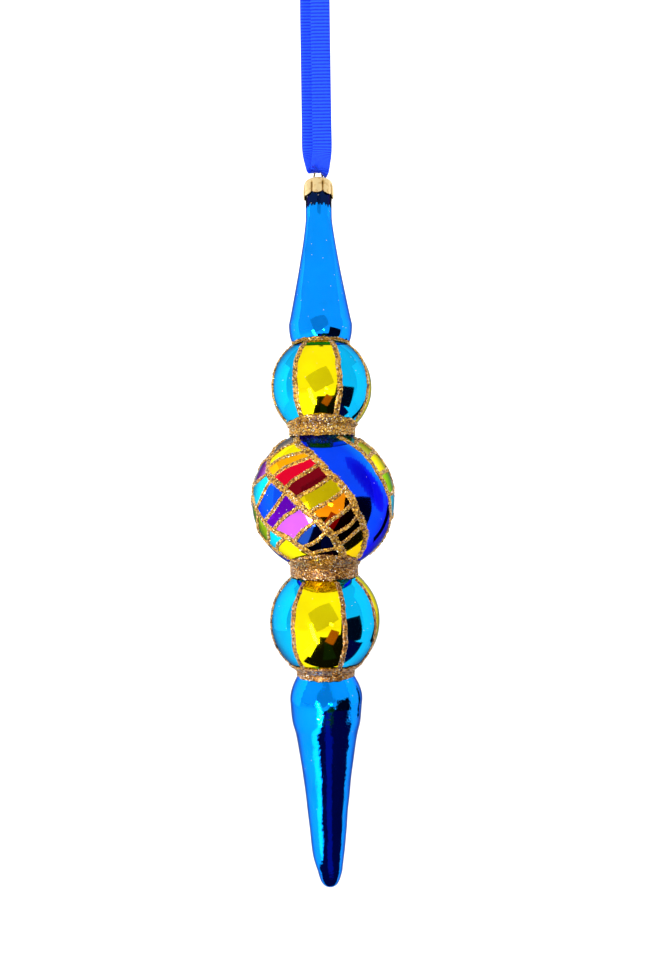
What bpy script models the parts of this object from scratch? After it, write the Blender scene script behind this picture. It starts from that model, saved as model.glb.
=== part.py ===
"""Glass icicle ornament: three blown balls, a spire and an icicle under a crown cap on a ribbon loop.

Units are metres and +Z is up. The origin is the point inside the top of the ribbon loop that a hook
bears on, so the whole ornament hangs below it and only the ribbon's knot and tails stand above it.
The front of the ornament faces -Y.
"""
import bmesh
import bpy
import math
from mathutils import Vector

# ---------------------------------------------------------------- driving sizes
GAP = 0.0003                     # clearance kept between pieces that touch or cover each other

# hanging
HANG_DROP = 0.0813               # hanging point down to the top of the cap
RIBBON_WIDTH = 0.007             # 1/4 inch grosgrain
RIBBON_THICKNESS = 0.0004
STRAND_SETBACK = 0.0021          # each strand's distance in front of or behind the axis, at the eye
STRAND_BULGE = 0.0036            # the same distance just below the hook
FRONT_STRAND_SHIFT = 0.0016      # the strands lie side by side across X, not one behind the other
FRONT_FLAP = 0.0011              # how far the front strand hangs below the fold
BACK_STRAND_SHIFT = -0.0023
# Each strand from its bottom up to the knot, as shares of: the rise to the knot, the shift along X, the
# setback, the bulge and the ribbon's width.
STRAND_SHARES = ((0.0, 0.25, 1.0, 0.0, 0.95), (0.035, 0.55, 1.0, 0.0, 0.98), (0.10, 1.0, 1.05, 0.0, 1.0),
                 (0.45, 1.0, 1.2, 0.0, 1.0), (0.78, 1.0, 1.7, 0.0, 1.0), (0.93, 0.9, 0.0, 1.0, 1.0),
                 (0.975, 0.6, 0.0, 0.85, 0.95), (1.0, 0.3, 0.0, 0.5, 0.85))
KNOT_SIZE = (0.0096, 0.0066, 0.0062)
TAIL_LENGTH = 0.017
TAIL_LEAN = 24.0                 # degrees either side of upright

# wire hanger
WIRE_DIAMETER = 0.00065
EYE_RADIUS = 0.00115             # bend radius at the top of the eye, to the wire's middle
EYE_HEIGHT = 0.0052              # cap top to the wire's middle at the top of the eye
LEG_SPREAD = 0.0019              # half the distance between the legs where they pass the cap
LEG_LENGTH = 0.020               # length of each spring leg below the cap
KNEE_SPREAD = 0.8                # how much of the leg's way out to the neck is done at its knee
KNEE_DROP = 0.6                  # how much of the leg's length is above its knee
EYE_TURN = 196.0                 # degrees that the wire turns through at the eye
EYE_STEPS = 12

# crown cap
CAP_METAL = 0.0003
CAP_DEPTH = 0.0059               # top of the cap to the tip of a petal
CAP_NOTCH_DEPTH = 0.0046         # top of the cap to the notch between two petals
CAP_SHOULDER = 0.0013            # rounding between the cap's top and its side
CAP_PETALS = 8
CAP_TURN = -5.0                  # degrees from the front to the middle of the nearest petal
CAP_FLARE = 0.00025              # how far the petal tips stand out
WIRE_HOLE_RADIUS = 0.00095

# blown glass
GLASS_WALL = 0.0008
NECK_RADIUS = 0.0047
NECK_LENGTH = 0.0125             # straight neck, from its rim down to the start of the spire
RIM_ROUNDING = 0.0009
SPIRE_LENGTH = 0.0382            # from the neck down to the spire's widest place
SPIRE_RADIUS = 0.0114
SPIRE_CURVE = 1.2                # above 1, the spire's side is hollow
SPIRE_UNDERSIDE = 0.0071         # from the widest place down to the groove
TOP_GROOVE_RADIUS = 0.0092
UPPER_BALL_RADIUS = 0.0180
UPPER_NECK_RADIUS = 0.0108
UPPER_NECK_LENGTH = 0.0027
MIDDLE_BALL_RADIUS = 0.0255
LOWER_NECK_RADIUS = 0.0114
LOWER_NECK_LENGTH = 0.0040
LOWER_BALL_RADIUS = 0.0196
DRIP_GROOVE_RADIUS = 0.0089
DRIP_SHOULDER_LENGTH = 0.0108    # from the groove under the lower ball down to the icicle's widest place
DRIP_RADIUS = 0.0130
DRIP_LENGTH = 0.0676             # from the icicle's widest place down to its tip
DRIP_OUTLINE = ((0.0, 1.0), (0.11, 0.945), (0.19, 0.85), (0.365, 0.70), (0.60, 0.558), (0.80, 0.455),
                (0.90, 0.36), (0.965, 0.26), (1.0, 0.0))    # shares of DRIP_LENGTH and DRIP_RADIUS

# glitter
BEAD_HEIGHT = 0.0005
COLLAR_HEIGHT = 0.0006
MERIDIAN_WIDTH_UPPER = 0.0021
MERIDIAN_WIDTH_LOWER = 0.0018
SWIRL_WIDTH = 0.0024
DIVIDER_WIDTH = 0.0013
TOP_RING_REACH = (0.0009, 0.0009)       # above and below the groove between spire and upper ball
UPPER_COLLAR_REACH = (0.0024, 0.0008)   # above and below the neck between upper and middle ball
LOWER_COLLAR_REACH = (0.0028, 0.0009)   # above and below the neck between middle and lower ball
BOTTOM_RING_REACH = (0.0034, 0.0018)    # above and below the groove between lower ball and icicle
UPPER_MERIDIANS = (-72.6, -29.6, 19.8, 64.0, 111.0, 154.0, 201.0, 244.0)
LOWER_MERIDIANS = (-74.4, -33.4, 19.6, 61.9, 109.0, 152.0, 199.0, 243.0)

# The swirl lines of the middle ball, as (latitude, longitude) in degrees. Longitude 0 faces the front.
LINE_A = ((64, -50), (50, -29), (37, -10), (12, 14), (-9, 27), (-31, 39), (-50, 45))
LINE_B = ((64, -84), (45, -69), (35, -61), (22, -50), (6, -26), (-14, -4), (-35, 14), (-50, 24))
LINE_C = ((64, -126), (30, -98), (9, -79), (-8, -61), (-20, -48), (-28, -30), (-37, -19), (-50, -3))
LINE_R = ((64, 12), (59, 24), (44, 40), (16, 54), (-4, 64), (-13, 68), (-32, 79), (-50, 84))
SWIRL_STEPS = 22                 # lengths that each swirl line is made of

SEGMENTS = 24                    # round the glass and its collars
BALL_STEPS = 8                   # along each ball's outline
FINE_STEPS = 40                  # along each ball's outline, where another piece is fitted to it
COLLAR_STEP = 0.0018             # height of each turn of faces on a collar
MERIDIAN_STEPS = 8
SMOOTH_STEPS = 4                 # lengths between two points of a curve that passes through given points
DIVIDER_STEPS = 3


# ---------------------------------------------------------------- levels, top down
CAP_TOP = -HANG_DROP
RIM = CAP_TOP - CAP_METAL - GAP
SPIRE_START = RIM - NECK_LENGTH
SPIRE_WIDEST = SPIRE_START - SPIRE_LENGTH
TOP_GROOVE = SPIRE_WIDEST - SPIRE_UNDERSIDE


def pole_distance(radius, neck):
    """Distance from a ball's centre to the plane where it has shrunk to the neck's radius."""
    return math.sqrt(radius ** 2 - neck ** 2)


UPPER_BALL = TOP_GROOVE - pole_distance(UPPER_BALL_RADIUS, TOP_GROOVE_RADIUS)
UPPER_NECK_TOP = UPPER_BALL - pole_distance(UPPER_BALL_RADIUS, UPPER_NECK_RADIUS)
UPPER_NECK_BOTTOM = UPPER_NECK_TOP - UPPER_NECK_LENGTH
MIDDLE_BALL = UPPER_NECK_BOTTOM - pole_distance(MIDDLE_BALL_RADIUS, UPPER_NECK_RADIUS)
LOWER_NECK_TOP = MIDDLE_BALL - pole_distance(MIDDLE_BALL_RADIUS, LOWER_NECK_RADIUS)
LOWER_NECK_BOTTOM = LOWER_NECK_TOP - LOWER_NECK_LENGTH
LOWER_BALL = LOWER_NECK_BOTTOM - pole_distance(LOWER_BALL_RADIUS, LOWER_NECK_RADIUS)
DRIP_GROOVE = LOWER_BALL - pole_distance(LOWER_BALL_RADIUS, DRIP_GROOVE_RADIUS)
DRIP_WIDEST = DRIP_GROOVE - DRIP_SHOULDER_LENGTH
TIP = DRIP_WIDEST - DRIP_LENGTH
EYE_TOP = CAP_TOP + EYE_HEIGHT
FOLD_TOP = EYE_TOP - WIRE_DIAMETER / 2 - GAP      # the ribbon's bight, just under the wire
FOLD_BOTTOM = FOLD_TOP - RIBBON_THICKNESS


# ---------------------------------------------------------------- helpers
def clear_scene():
    for thing in list(bpy.data.objects):
        bpy.data.objects.remove(thing, do_unlink=True)


def material(name, colour, roughness, metallic):
    made = bpy.data.materials.new(name)
    made.use_nodes = True
    shader = made.node_tree.nodes["Principled BSDF"]
    shader.inputs["Base Color"].default_value = (*colour, 1.0)
    shader.inputs["Roughness"].default_value = roughness
    shader.inputs["Metallic"].default_value = metallic
    made.diffuse_color = (*colour, 1.0)
    return made


def add_object(name, bm, finish, sharp_angle=40.0):
    """Turns a bmesh into a shaded object with outward faces."""
    bmesh.ops.recalc_face_normals(bm, faces=bm.faces[:])
    mesh = bpy.data.meshes.new(name)
    bm.to_mesh(mesh)
    bm.free()
    mesh.shade_smooth()
    mesh.set_sharp_from_angle(angle=math.radians(sharp_angle))
    mesh.materials.append(finish)
    made = bpy.data.objects.new(name, mesh)
    bpy.context.scene.collection.objects.link(made)
    return made


def smooth_through(points, steps):
    """Points along a Catmull-Rom curve through the given points, `steps` to each stretch."""
    points = [Vector(p) for p in points]
    ends = [2 * points[0] - points[1], *points, 2 * points[-1] - points[-2]]
    curve = []
    for a, b, c, d in zip(ends, ends[1:], ends[2:], ends[3:]):
        for k in range(steps):
            t = k / steps
            curve.append(0.5 * (2 * b + (c - a) * t + (2 * a - 5 * b + 4 * c - d) * t ** 2
                                + (3 * b - a - 3 * c + d) * t ** 3))
    curve.append(points[-1])
    return curve


def ball_arc(level, radius, start, end, steps):
    """A ball's outline as (radius, height), from the height `start` down to the height `end`."""
    first = math.acos((start - level) / radius)
    last = math.acos((end - level) / radius)
    angles = [first + (last - first) * k / steps for k in range(steps + 1)]
    return [(radius * math.sin(a), level + radius * math.cos(a)) for a in angles]


def glass_outline(steps, drip_steps):
    """The outside of the glass as (radius, height), from the rim down to the tip.

    `steps` is the number of straight runs along each ball, and `drip_steps` between two points of
    the icicle's outline.
    """
    outline = []
    for k in range(4):
        turn = math.radians(30 * k)
        outline.append((NECK_RADIUS - RIM_ROUNDING * (1 - math.sin(turn)) * 0.5,
                        RIM - RIM_ROUNDING * (1 - math.cos(turn))))
    for k in range(steps + 1):
        share = k / steps
        outline.append((NECK_RADIUS + (SPIRE_RADIUS - NECK_RADIUS) * share ** SPIRE_CURVE,
                        SPIRE_START - SPIRE_LENGTH * share))
    half = max(3, steps // 2)
    for k in range(1, half):
        turn = math.radians(90 * k / half)
        outline.append((TOP_GROOVE_RADIUS + (SPIRE_RADIUS - TOP_GROOVE_RADIUS) * math.cos(turn),
                        SPIRE_WIDEST - SPIRE_UNDERSIDE * math.sin(turn)))
    outline += ball_arc(UPPER_BALL, UPPER_BALL_RADIUS, TOP_GROOVE, UPPER_NECK_TOP, steps)
    outline += ball_arc(MIDDLE_BALL, MIDDLE_BALL_RADIUS, UPPER_NECK_BOTTOM, LOWER_NECK_TOP, steps + 2)
    outline += ball_arc(LOWER_BALL, LOWER_BALL_RADIUS, LOWER_NECK_BOTTOM, DRIP_GROOVE, steps)
    for k in range(1, half):
        turn = math.radians(90 * k / half)
        outline.append((DRIP_GROOVE_RADIUS + (DRIP_RADIUS - DRIP_GROOVE_RADIUS) * math.sin(turn),
                        DRIP_WIDEST + DRIP_SHOULDER_LENGTH * math.cos(turn)))
    drip = [(DRIP_RADIUS * width, DRIP_WIDEST - DRIP_LENGTH * fall, 0) for fall, width in DRIP_OUTLINE]
    outline += [(p.x, p.y) for p in smooth_through(drip, drip_steps)]
    return outline


def inward_offset(outline, wall):
    """The same outline moved inwards by the wall, square to the surface."""
    inner = []
    for k, (radius, height) in enumerate(outline):
        before = outline[max(k - 1, 0)]
        after = outline[min(k + 1, len(outline) - 1)]
        along = Vector((after[0] - before[0], after[1] - before[1])).normalized()
        if k == len(outline) - 1:
            along = Vector((-1, 0))
        inner.append((max(radius + wall * along.y, 0.0), height - wall * along.x))
    return inner


def resampled(outline, spacing):
    """The outline with extra points along its straight runs, no further apart than the spacing."""
    fine = []
    for a, b in zip(outline, outline[1:]):
        count = max(1, math.ceil(math.dist(a, b) / spacing))
        fine += [(a[0] + (b[0] - a[0]) * k / count, a[1] + (b[1] - a[1]) * k / count) for k in range(count)]
    return fine + [outline[-1]]


def swept_radius(outline, height, distance):
    """Radius at a height of the outline's outside moved out by a distance, as a ball rolls round it."""
    reach = 0.0
    for radius, level in outline:
        offset = height - level
        if abs(offset) < distance:
            reach = max(reach, radius + math.sqrt(distance ** 2 - offset ** 2))
    return reach


def revolve(profile, segments):
    """Turns a closed outline of (radius, height) points about Z; a radius of 0 is a point on the axis."""
    bm = bmesh.new()
    rings = []
    for radius, height in profile:
        count = segments if radius > 1e-7 else 1
        ring = []
        for k in range(count):
            turn = 2 * math.pi * k / segments
            ring.append(bm.verts.new((radius * math.cos(turn), radius * math.sin(turn), height)))
        rings.append(ring)
    for upper, lower in zip(rings, rings[1:] + rings[:1]):
        for k in range(segments):
            n = (k + 1) % segments
            corners = [upper[k % len(upper)], upper[n % len(upper)], lower[n % len(lower)], lower[k % len(lower)]]
            corners = list(dict.fromkeys(corners))
            if len(corners) > 2:
                bm.faces.new(corners)
    return bm


def direction(longitude, latitude):
    """Unit vector from a ball's centre; longitude 0 faces -Y and grows towards +X."""
    lon = math.radians(longitude)
    lat = math.radians(latitude)
    return Vector((math.sin(lon) * math.cos(lat), -math.cos(lon) * math.cos(lat), math.sin(lat)))


def line_longitude(line, latitude):
    """Longitude of a swirl line, given as (latitude, longitude) points; it runs on straight past its ends."""
    curve = smooth_through([(lat, lon, 0) for lat, lon in line], SMOOTH_STEPS)
    spans = list(zip(curve, curve[1:]))
    a, b = next((span for span in spans if latitude >= span[1].x), spans[-1])
    return a.y + (b.y - a.y) * (a.x - latitude) / (a.x - b.x)


def strip_sides(path, half_width):
    """Left and right edges of a strip along unit vectors, as seen from outside with the path going down."""
    left = []
    right = []
    for k, here in enumerate(path):
        along = path[min(k + 1, len(path) - 1)] - path[max(k - 1, 0)]
        if k in (0, len(path) - 1):
            along = Vector((0, 0, -1))      # a strip ends along a latitude, level with its collar
        side = along.cross(here).normalized() * half_width
        left.append((here + side).normalized())
        right.append((here - side).normalized())
    return left, right


def thicken(bm, centre, inner_radius, height):
    """Gives a net of faces on the unit sphere its place and its thickness."""
    for vert in bm.verts:
        vert.co = vert.co.normalized() * inner_radius
    grown = bmesh.ops.extrude_face_region(bm, geom=bm.faces[:], use_keep_orig=True)
    for thing in grown["geom"]:
        if isinstance(thing, bmesh.types.BMVert):
            thing.co = thing.co.normalized() * (inner_radius + height)
    bmesh.ops.translate(bm, verts=bm.verts[:], vec=(0, 0, centre))


def tube(name, points, diameter, finish):
    """A round wire through the points, with closed ends."""
    curve = bpy.data.curves.new(name, "CURVE")
    curve.dimensions = "3D"
    curve.bevel_depth = diameter / 2
    curve.bevel_resolution = 2
    curve.use_fill_caps = True
    spline = curve.splines.new("POLY")
    spline.points.add(len(points) - 1)
    for slot, point in zip(spline.points, points):
        slot.co = (*point, 1.0)
    curve.materials.append(finish)
    made = bpy.data.objects.new(name, curve)
    bpy.context.scene.collection.objects.link(made)
    return made


def band(name, stations, thickness, finish):
    """A flat band through (place, width) stations; its width lies along X and it runs in the YZ plane."""
    bm = bmesh.new()
    rings = []
    for k, (place, width) in enumerate(stations):
        along = stations[min(k + 1, len(stations) - 1)][0] - stations[max(k - 1, 0)][0]
        out = Vector((0, along.z, -along.y)).normalized() * thickness / 2
        across = Vector((width / 2, 0, 0))
        corners = [place - across - out, place + across - out, place + across + out, place - across + out]
        rings.append([bm.verts.new(c) for c in corners])
    for a, b in zip(rings, rings[1:]):
        for k in range(4):
            n = (k + 1) % 4
            bm.faces.new((a[k], a[n], b[n], b[k]))
    bm.faces.new(rings[0])
    bm.faces.new(reversed(rings[-1]))
    return add_object(name, bm, finish)


# ---------------------------------------------------------------- sub-parts
def make_glass(finish):
    outside = glass_outline(BALL_STEPS, 1)
    inside = inward_offset(outside, GLASS_WALL)
    return add_object("glass_body", revolve(outside + inside[::-1], SEGMENTS), finish)


def petal_edge(turn, notch, tip):
    """Height of the cap's scalloped edge at one angle: a half round for each petal."""
    pitch = 360.0 / CAP_PETALS
    place = (math.degrees(turn) + 90 - CAP_TURN + pitch / 2) % pitch / pitch * 2 - 1
    return notch + (tip - notch) * math.sqrt(max(1 - place ** 2, 0.0))


def make_cap(finish):
    inner = NECK_RADIUS + GAP
    outer = inner + CAP_METAL
    steps = CAP_PETALS * 6
    notch = CAP_TOP - CAP_NOTCH_DEPTH
    tip = CAP_TOP - CAP_DEPTH
    bm = bmesh.new()
    rings = []

    def ring(radius, height):
        made = []
        for k in range(steps):
            turn = 2 * math.pi * k / steps
            level = height(turn) if callable(height) else height
            flare = CAP_FLARE * max(CAP_TOP - CAP_SHOULDER - level, 0.0) / CAP_DEPTH
            spread = radius + flare
            made.append(bm.verts.new((spread * math.cos(turn), spread * math.sin(turn), level)))
        rings.append(made)

    def edge(turn):
        return petal_edge(turn, notch, tip)

    for k in range(4):
        turn = math.radians(30 * k)
        ring(outer - CAP_SHOULDER * (1 - math.sin(turn)), CAP_TOP - CAP_SHOULDER * (1 - math.cos(turn)))
    ring(outer, edge)
    ring(inner, edge)
    for k in range(3, -1, -1):
        turn = math.radians(30 * k)
        bend = CAP_SHOULDER - CAP_METAL
        ring(inner - bend * (1 - math.sin(turn)), CAP_TOP - CAP_METAL - bend * (1 - math.cos(turn)))
    for upper, lower in zip(rings, rings[1:]):
        for k in range(steps):
            n = (k + 1) % steps
            bm.faces.new((upper[k], upper[n], lower[n], lower[k]))
    bm.faces.new(rings[0])
    bm.faces.new(reversed(rings[-1]))
    cap = add_object("cap", bm, finish)
    for side, name in ((-1, "left"), (1, "right")):
        cutter_bm = bmesh.new()
        bmesh.ops.create_cone(cutter_bm, cap_ends=True, segments=16, radius1=WIRE_HOLE_RADIUS,
                              radius2=WIRE_HOLE_RADIUS, depth=8 * CAP_METAL)
        bmesh.ops.translate(cutter_bm, verts=cutter_bm.verts[:], vec=(side * LEG_SPREAD, 0, CAP_TOP))
        cutter = add_object("wire_hole_" + name, cutter_bm, finish)
        cutter.hide_render = True
        cutter.display_type = "WIRE"
        hole = cap.modifiers.new("wire_hole_" + name, "BOOLEAN")
        hole.operation = "DIFFERENCE"
        hole.object = cutter
    return cap


def make_hanger(finish):
    """One wire: down a leg, and over the eye, and down the other leg."""
    inside_neck = NECK_RADIUS - RIM_ROUNDING / 2 - GLASS_WALL - GAP - WIRE_DIAMETER / 2
    foot = (inside_neck, CAP_TOP - LEG_LENGTH)
    knee = (LEG_SPREAD + (inside_neck - LEG_SPREAD) * KNEE_SPREAD, CAP_TOP - LEG_LENGTH * KNEE_DROP)
    shoulder = (LEG_SPREAD, CAP_TOP)
    half = smooth_through([(x, z, 0) for x, z in (foot, knee, shoulder)], SMOOTH_STEPS)
    right = [Vector((p.x, 0, p.y)) for p in half]
    eye_centre = EYE_TOP - EYE_RADIUS
    arc = []
    for k in range(EYE_STEPS + 1):
        turn = math.radians(90 - EYE_TURN / 2 + EYE_TURN * k / EYE_STEPS)
        arc.append(Vector((EYE_RADIUS * math.cos(turn), 0, eye_centre + EYE_RADIUS * math.sin(turn))))
    left = [Vector((-p.x, 0, p.z)) for p in reversed(right)]
    return tube("hanger_wire", right + arc + left, WIRE_DIAMETER, finish)


def strand_stations(side, shift, bottom):
    """Stations of one strand from its bottom up to the knot; side is -1 in front and +1 behind."""
    rise_to_knot = GAP * 2 - bottom
    places = []
    for rise, aside, setback, bulge, width in STRAND_SHARES:
        places.append((shift * aside, STRAND_SETBACK * setback + STRAND_BULGE * bulge, rise, width))
    path = smooth_through([(x, side * y, bottom + rise_to_knot * rise) for x, y, rise, _ in places],
                          SMOOTH_STEPS)
    widths = smooth_through([(w, 0, 0) for _, _, _, w in places], SMOOTH_STEPS)
    return [(place, RIBBON_WIDTH * width.x) for place, width in zip(path, widths)]


def make_ribbon(finish):
    made = [
        band("ribbon_front_strand", strand_stations(-1, FRONT_STRAND_SHIFT, FOLD_BOTTOM - FRONT_FLAP),
             RIBBON_THICKNESS, finish),
        band("ribbon_back_strand", strand_stations(1, BACK_STRAND_SHIFT, FOLD_BOTTOM), RIBBON_THICKNESS,
             finish),
    ]
    reach = STRAND_SETBACK - RIBBON_THICKNESS / 2 - GAP
    width = 2 * (EYE_RADIUS - WIRE_DIAMETER / 2 - GAP)
    middle = (FOLD_TOP + FOLD_BOTTOM) / 2
    stations = [(Vector((0, reach * share, middle)), width) for share in (-1, -0.5, 0, 0.5, 1)]
    made.append(band("ribbon_fold", stations, RIBBON_THICKNESS, finish))
    knot_bm = bmesh.new()
    bmesh.ops.create_uvsphere(knot_bm, u_segments=16, v_segments=10, radius=0.5)
    bmesh.ops.scale(knot_bm, vec=KNOT_SIZE, verts=knot_bm.verts[:])
    knot_bottom = GAP * 2 + RIBBON_THICKNESS
    bmesh.ops.translate(knot_bm, verts=knot_bm.verts[:], vec=(0, 0, knot_bottom + KNOT_SIZE[2] / 2))
    made.append(add_object("ribbon_knot", knot_bm, finish))
    tail_bottom = knot_bottom + KNOT_SIZE[2] + GAP
    for side, name in ((-1, "left"), (1, "right")):
        lean = math.radians(TAIL_LEAN) * side
        root = Vector((side * RIBBON_WIDTH * 0.62, 0, tail_bottom))
        rise = Vector((math.sin(lean), 0, math.cos(lean)))
        stations = [(root + rise * TAIL_LENGTH * share, RIBBON_WIDTH) for share in (0, 0.25, 0.5, 0.75, 1)]
        made.append(band("ribbon_tail_" + name, stations, RIBBON_THICKNESS, finish))
    return made


def make_collar(name, top, bottom, finish):
    """A band of glitter that follows the glass between two heights."""
    outline = resampled(glass_outline(FINE_STEPS, 4), GAP / 6)
    steps = max(3, round((top - bottom) / COLLAR_STEP))
    levels = [top + (bottom - top) * k / steps for k in range(steps + 1)]
    inside = [(swept_radius(outline, level, GAP), level) for level in levels]
    outside = [(swept_radius(outline, level, GAP + COLLAR_HEIGHT), level) for level in levels]
    return add_object(name, revolve(outside + inside[::-1], SEGMENTS), finish)


def ball_limits(level, radius, top, bottom):
    """Latitudes between two collars on one ball, clear of both by the usual gap."""
    room = GAP * 1.5 + COLLAR_HEIGHT * 0.5
    highest = math.degrees(math.asin((top - level - room) / radius))
    lowest = math.degrees(math.asin((bottom - level + room) / radius))
    return highest, lowest


def make_meridians(prefix, level, radius, longitudes, width, limits, finish):
    highest, lowest = limits
    for number, longitude in enumerate(longitudes, 1):
        path = [direction(longitude, highest + (lowest - highest) * k / MERIDIAN_STEPS)
                for k in range(MERIDIAN_STEPS + 1)]
        left, right = strip_sides(path, width / 2 / radius)
        bm = bmesh.new()
        left = [bm.verts.new(p) for p in left]
        right = [bm.verts.new(p) for p in right]
        for k in range(MERIDIAN_STEPS):
            bm.faces.new((left[k], right[k], right[k + 1], left[k + 1]))
        thicken(bm, level, radius + GAP, BEAD_HEIGHT)
        add_object(f"{prefix}_{number}", bm, finish)


def rule_dividers(count, top, bottom, rise):
    """Dividers at an even pitch down a band, each one `rise` degrees higher on the right."""
    pitch = (top - rise - bottom) / (count - 1)
    return [(top - rise - pitch * k, top - pitch * k) for k in range(count)]


def make_net(name, lines, bands, limits, finish):
    """Swirl lines joined by dividers: one body that stands just off the middle ball."""
    highest, lowest = limits
    latitudes = [highest + (lowest - highest) * k / SWIRL_STEPS for k in range(SWIRL_STEPS + 1)]
    step = (highest - lowest) / SWIRL_STEPS
    bm = bmesh.new()
    sides = []
    for line in lines:
        path = [direction(line(latitude), latitude) for latitude in latitudes]
        left, right = strip_sides(path, SWIRL_WIDTH / 2 / MIDDLE_BALL_RADIUS)
        left = [bm.verts.new(p) for p in left]
        right = [bm.verts.new(p) for p in right]
        for k in range(SWIRL_STEPS):
            bm.faces.new((left[k], right[k], right[k + 1], left[k + 1]))
        sides.append((left, right))

    def nearest_free(latitude, used):
        wish = (highest - latitude) / step - 0.5
        free = [k for k in range(SWIRL_STEPS) if k not in used]
        choice = min(free, key=lambda k: abs(k - wish))
        used.add(choice)
        return choice

    for number, dividers in enumerate(bands):
        start_side = sides[number][1]
        end_side = sides[number + 1][0]
        used_start = set()
        used_end = set()
        for start_latitude, end_latitude in dividers:
            i = nearest_free(start_latitude, used_start)
            j = nearest_free(end_latitude, used_end)
            upper = [start_side[i]]
            lower = [start_side[i + 1]]
            for number_along in range(1, DIVIDER_STEPS):
                share = number_along / DIVIDER_STEPS
                a = start_side[i].co.lerp(end_side[j].co, share)
                b = start_side[i + 1].co.lerp(end_side[j + 1].co, share)
                middle = (a + b) / 2
                half = (a - b).normalized() * DIVIDER_WIDTH / 2 / MIDDLE_BALL_RADIUS
                upper.append(bm.verts.new(middle + half))
                lower.append(bm.verts.new(middle - half))
            upper.append(end_side[j])
            lower.append(end_side[j + 1])
            for k in range(DIVIDER_STEPS):
                bm.faces.new((upper[k], upper[k + 1], lower[k + 1], lower[k]))
    thicken(bm, MIDDLE_BALL, MIDDLE_BALL_RADIUS + GAP, BEAD_HEIGHT)
    return add_object(name, bm, finish)


def make_swirls(limits, finish):
    def along(line, shift=0.0):
        return lambda latitude: line_longitude(line, latitude) + shift

    def between(first, second):
        return lambda latitude: (first(latitude) + second(latitude)) / 2

    line_q = along(LINE_R, 30)
    line_a_back = along(LINE_A, 148)
    left_lines = [along(LINE_A, -170), along(LINE_C, -44), along(LINE_C), along(LINE_B), along(LINE_A)]
    left_bands = [
        rule_dividers(6, 48, -38, 14),
        [(34, 48), (18, 34), (4, 20), (-12, 6), (-26, -8), (-35, -20), (-41, -26)],
        [(40, 50), (25, 36), (10, 22), (-6, 17), (-16, 7), (-21, -2), (-30, -12), (-36, -22), (-41, -35)],
        [(35, 52), (27, 41), (18, 36), (9, 29.5), (1.6, 19), (-8, 9), (-18.5, 0), (-26, -10), (-33, -18)],
    ]
    make_net("glitter_net_front", left_lines, left_bands, limits, finish)
    right_lines = [along(LINE_R), line_q, between(line_q, line_a_back), line_a_back]
    right_bands = [
        [(47, 54), (35, 40), (19, 26), (3, 11), (-16, -9), (-32, -26)],
        rule_dividers(6, 50, -36, 12),
        rule_dividers(6, 46, -38, 12),
    ]
    make_net("glitter_net_back", right_lines, right_bands, limits, finish)


def build():
    clear_scene()
    glass = material("lacquered_glass", (0.02, 0.30, 0.85), 0.08, 0.6)
    gold = material("gilded_cap", (0.80, 0.58, 0.28), 0.25, 1.0)
    steel = material("spring_wire", (0.72, 0.70, 0.66), 0.3, 1.0)
    ribbon = material("grosgrain_ribbon", (0.02, 0.10, 0.80), 0.6, 0.0)
    glitter = material("gold_glitter", (0.52, 0.30, 0.08), 0.5, 0.5)

    make_glass(glass)
    make_cap(gold)
    make_hanger(steel)
    make_ribbon(ribbon)

    top_ring = (TOP_GROOVE + TOP_RING_REACH[0], TOP_GROOVE - TOP_RING_REACH[1])
    upper_collar = (UPPER_NECK_TOP + UPPER_COLLAR_REACH[0], UPPER_NECK_BOTTOM - UPPER_COLLAR_REACH[1])
    lower_collar = (LOWER_NECK_TOP + LOWER_COLLAR_REACH[0], LOWER_NECK_BOTTOM - LOWER_COLLAR_REACH[1])
    bottom_ring = (DRIP_GROOVE + BOTTOM_RING_REACH[0], DRIP_GROOVE - BOTTOM_RING_REACH[1])
    make_collar("glitter_ring_top", *top_ring, glitter)
    make_collar("glitter_collar_upper", *upper_collar, glitter)
    make_collar("glitter_collar_lower", *lower_collar, glitter)
    make_collar("glitter_ring_bottom", *bottom_ring, glitter)

    upper_limits = ball_limits(UPPER_BALL, UPPER_BALL_RADIUS, top_ring[1], upper_collar[0])
    middle_limits = ball_limits(MIDDLE_BALL, MIDDLE_BALL_RADIUS, upper_collar[1], lower_collar[0])
    lower_limits = ball_limits(LOWER_BALL, LOWER_BALL_RADIUS, lower_collar[1], bottom_ring[0])
    make_meridians("glitter_upper", UPPER_BALL, UPPER_BALL_RADIUS, UPPER_MERIDIANS,
                   MERIDIAN_WIDTH_UPPER, upper_limits, glitter)
    make_meridians("glitter_lower", LOWER_BALL, LOWER_BALL_RADIUS, LOWER_MERIDIANS,
                   MERIDIAN_WIDTH_LOWER, lower_limits, glitter)
    make_swirls(middle_limits, glitter)


build()
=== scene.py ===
# %% [markdown]
# # A glass icicle ornament
# This lesson dresses a finished mechanical model of a hanging ornament: blown and silvered glass under
# coloured lacquer, lines of gold glitter, a stamped crown cap, a wire eye and a loop of grosgrain ribbon.
# The mechanical model says where everything is, so it is loaded first and never moved.

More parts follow.
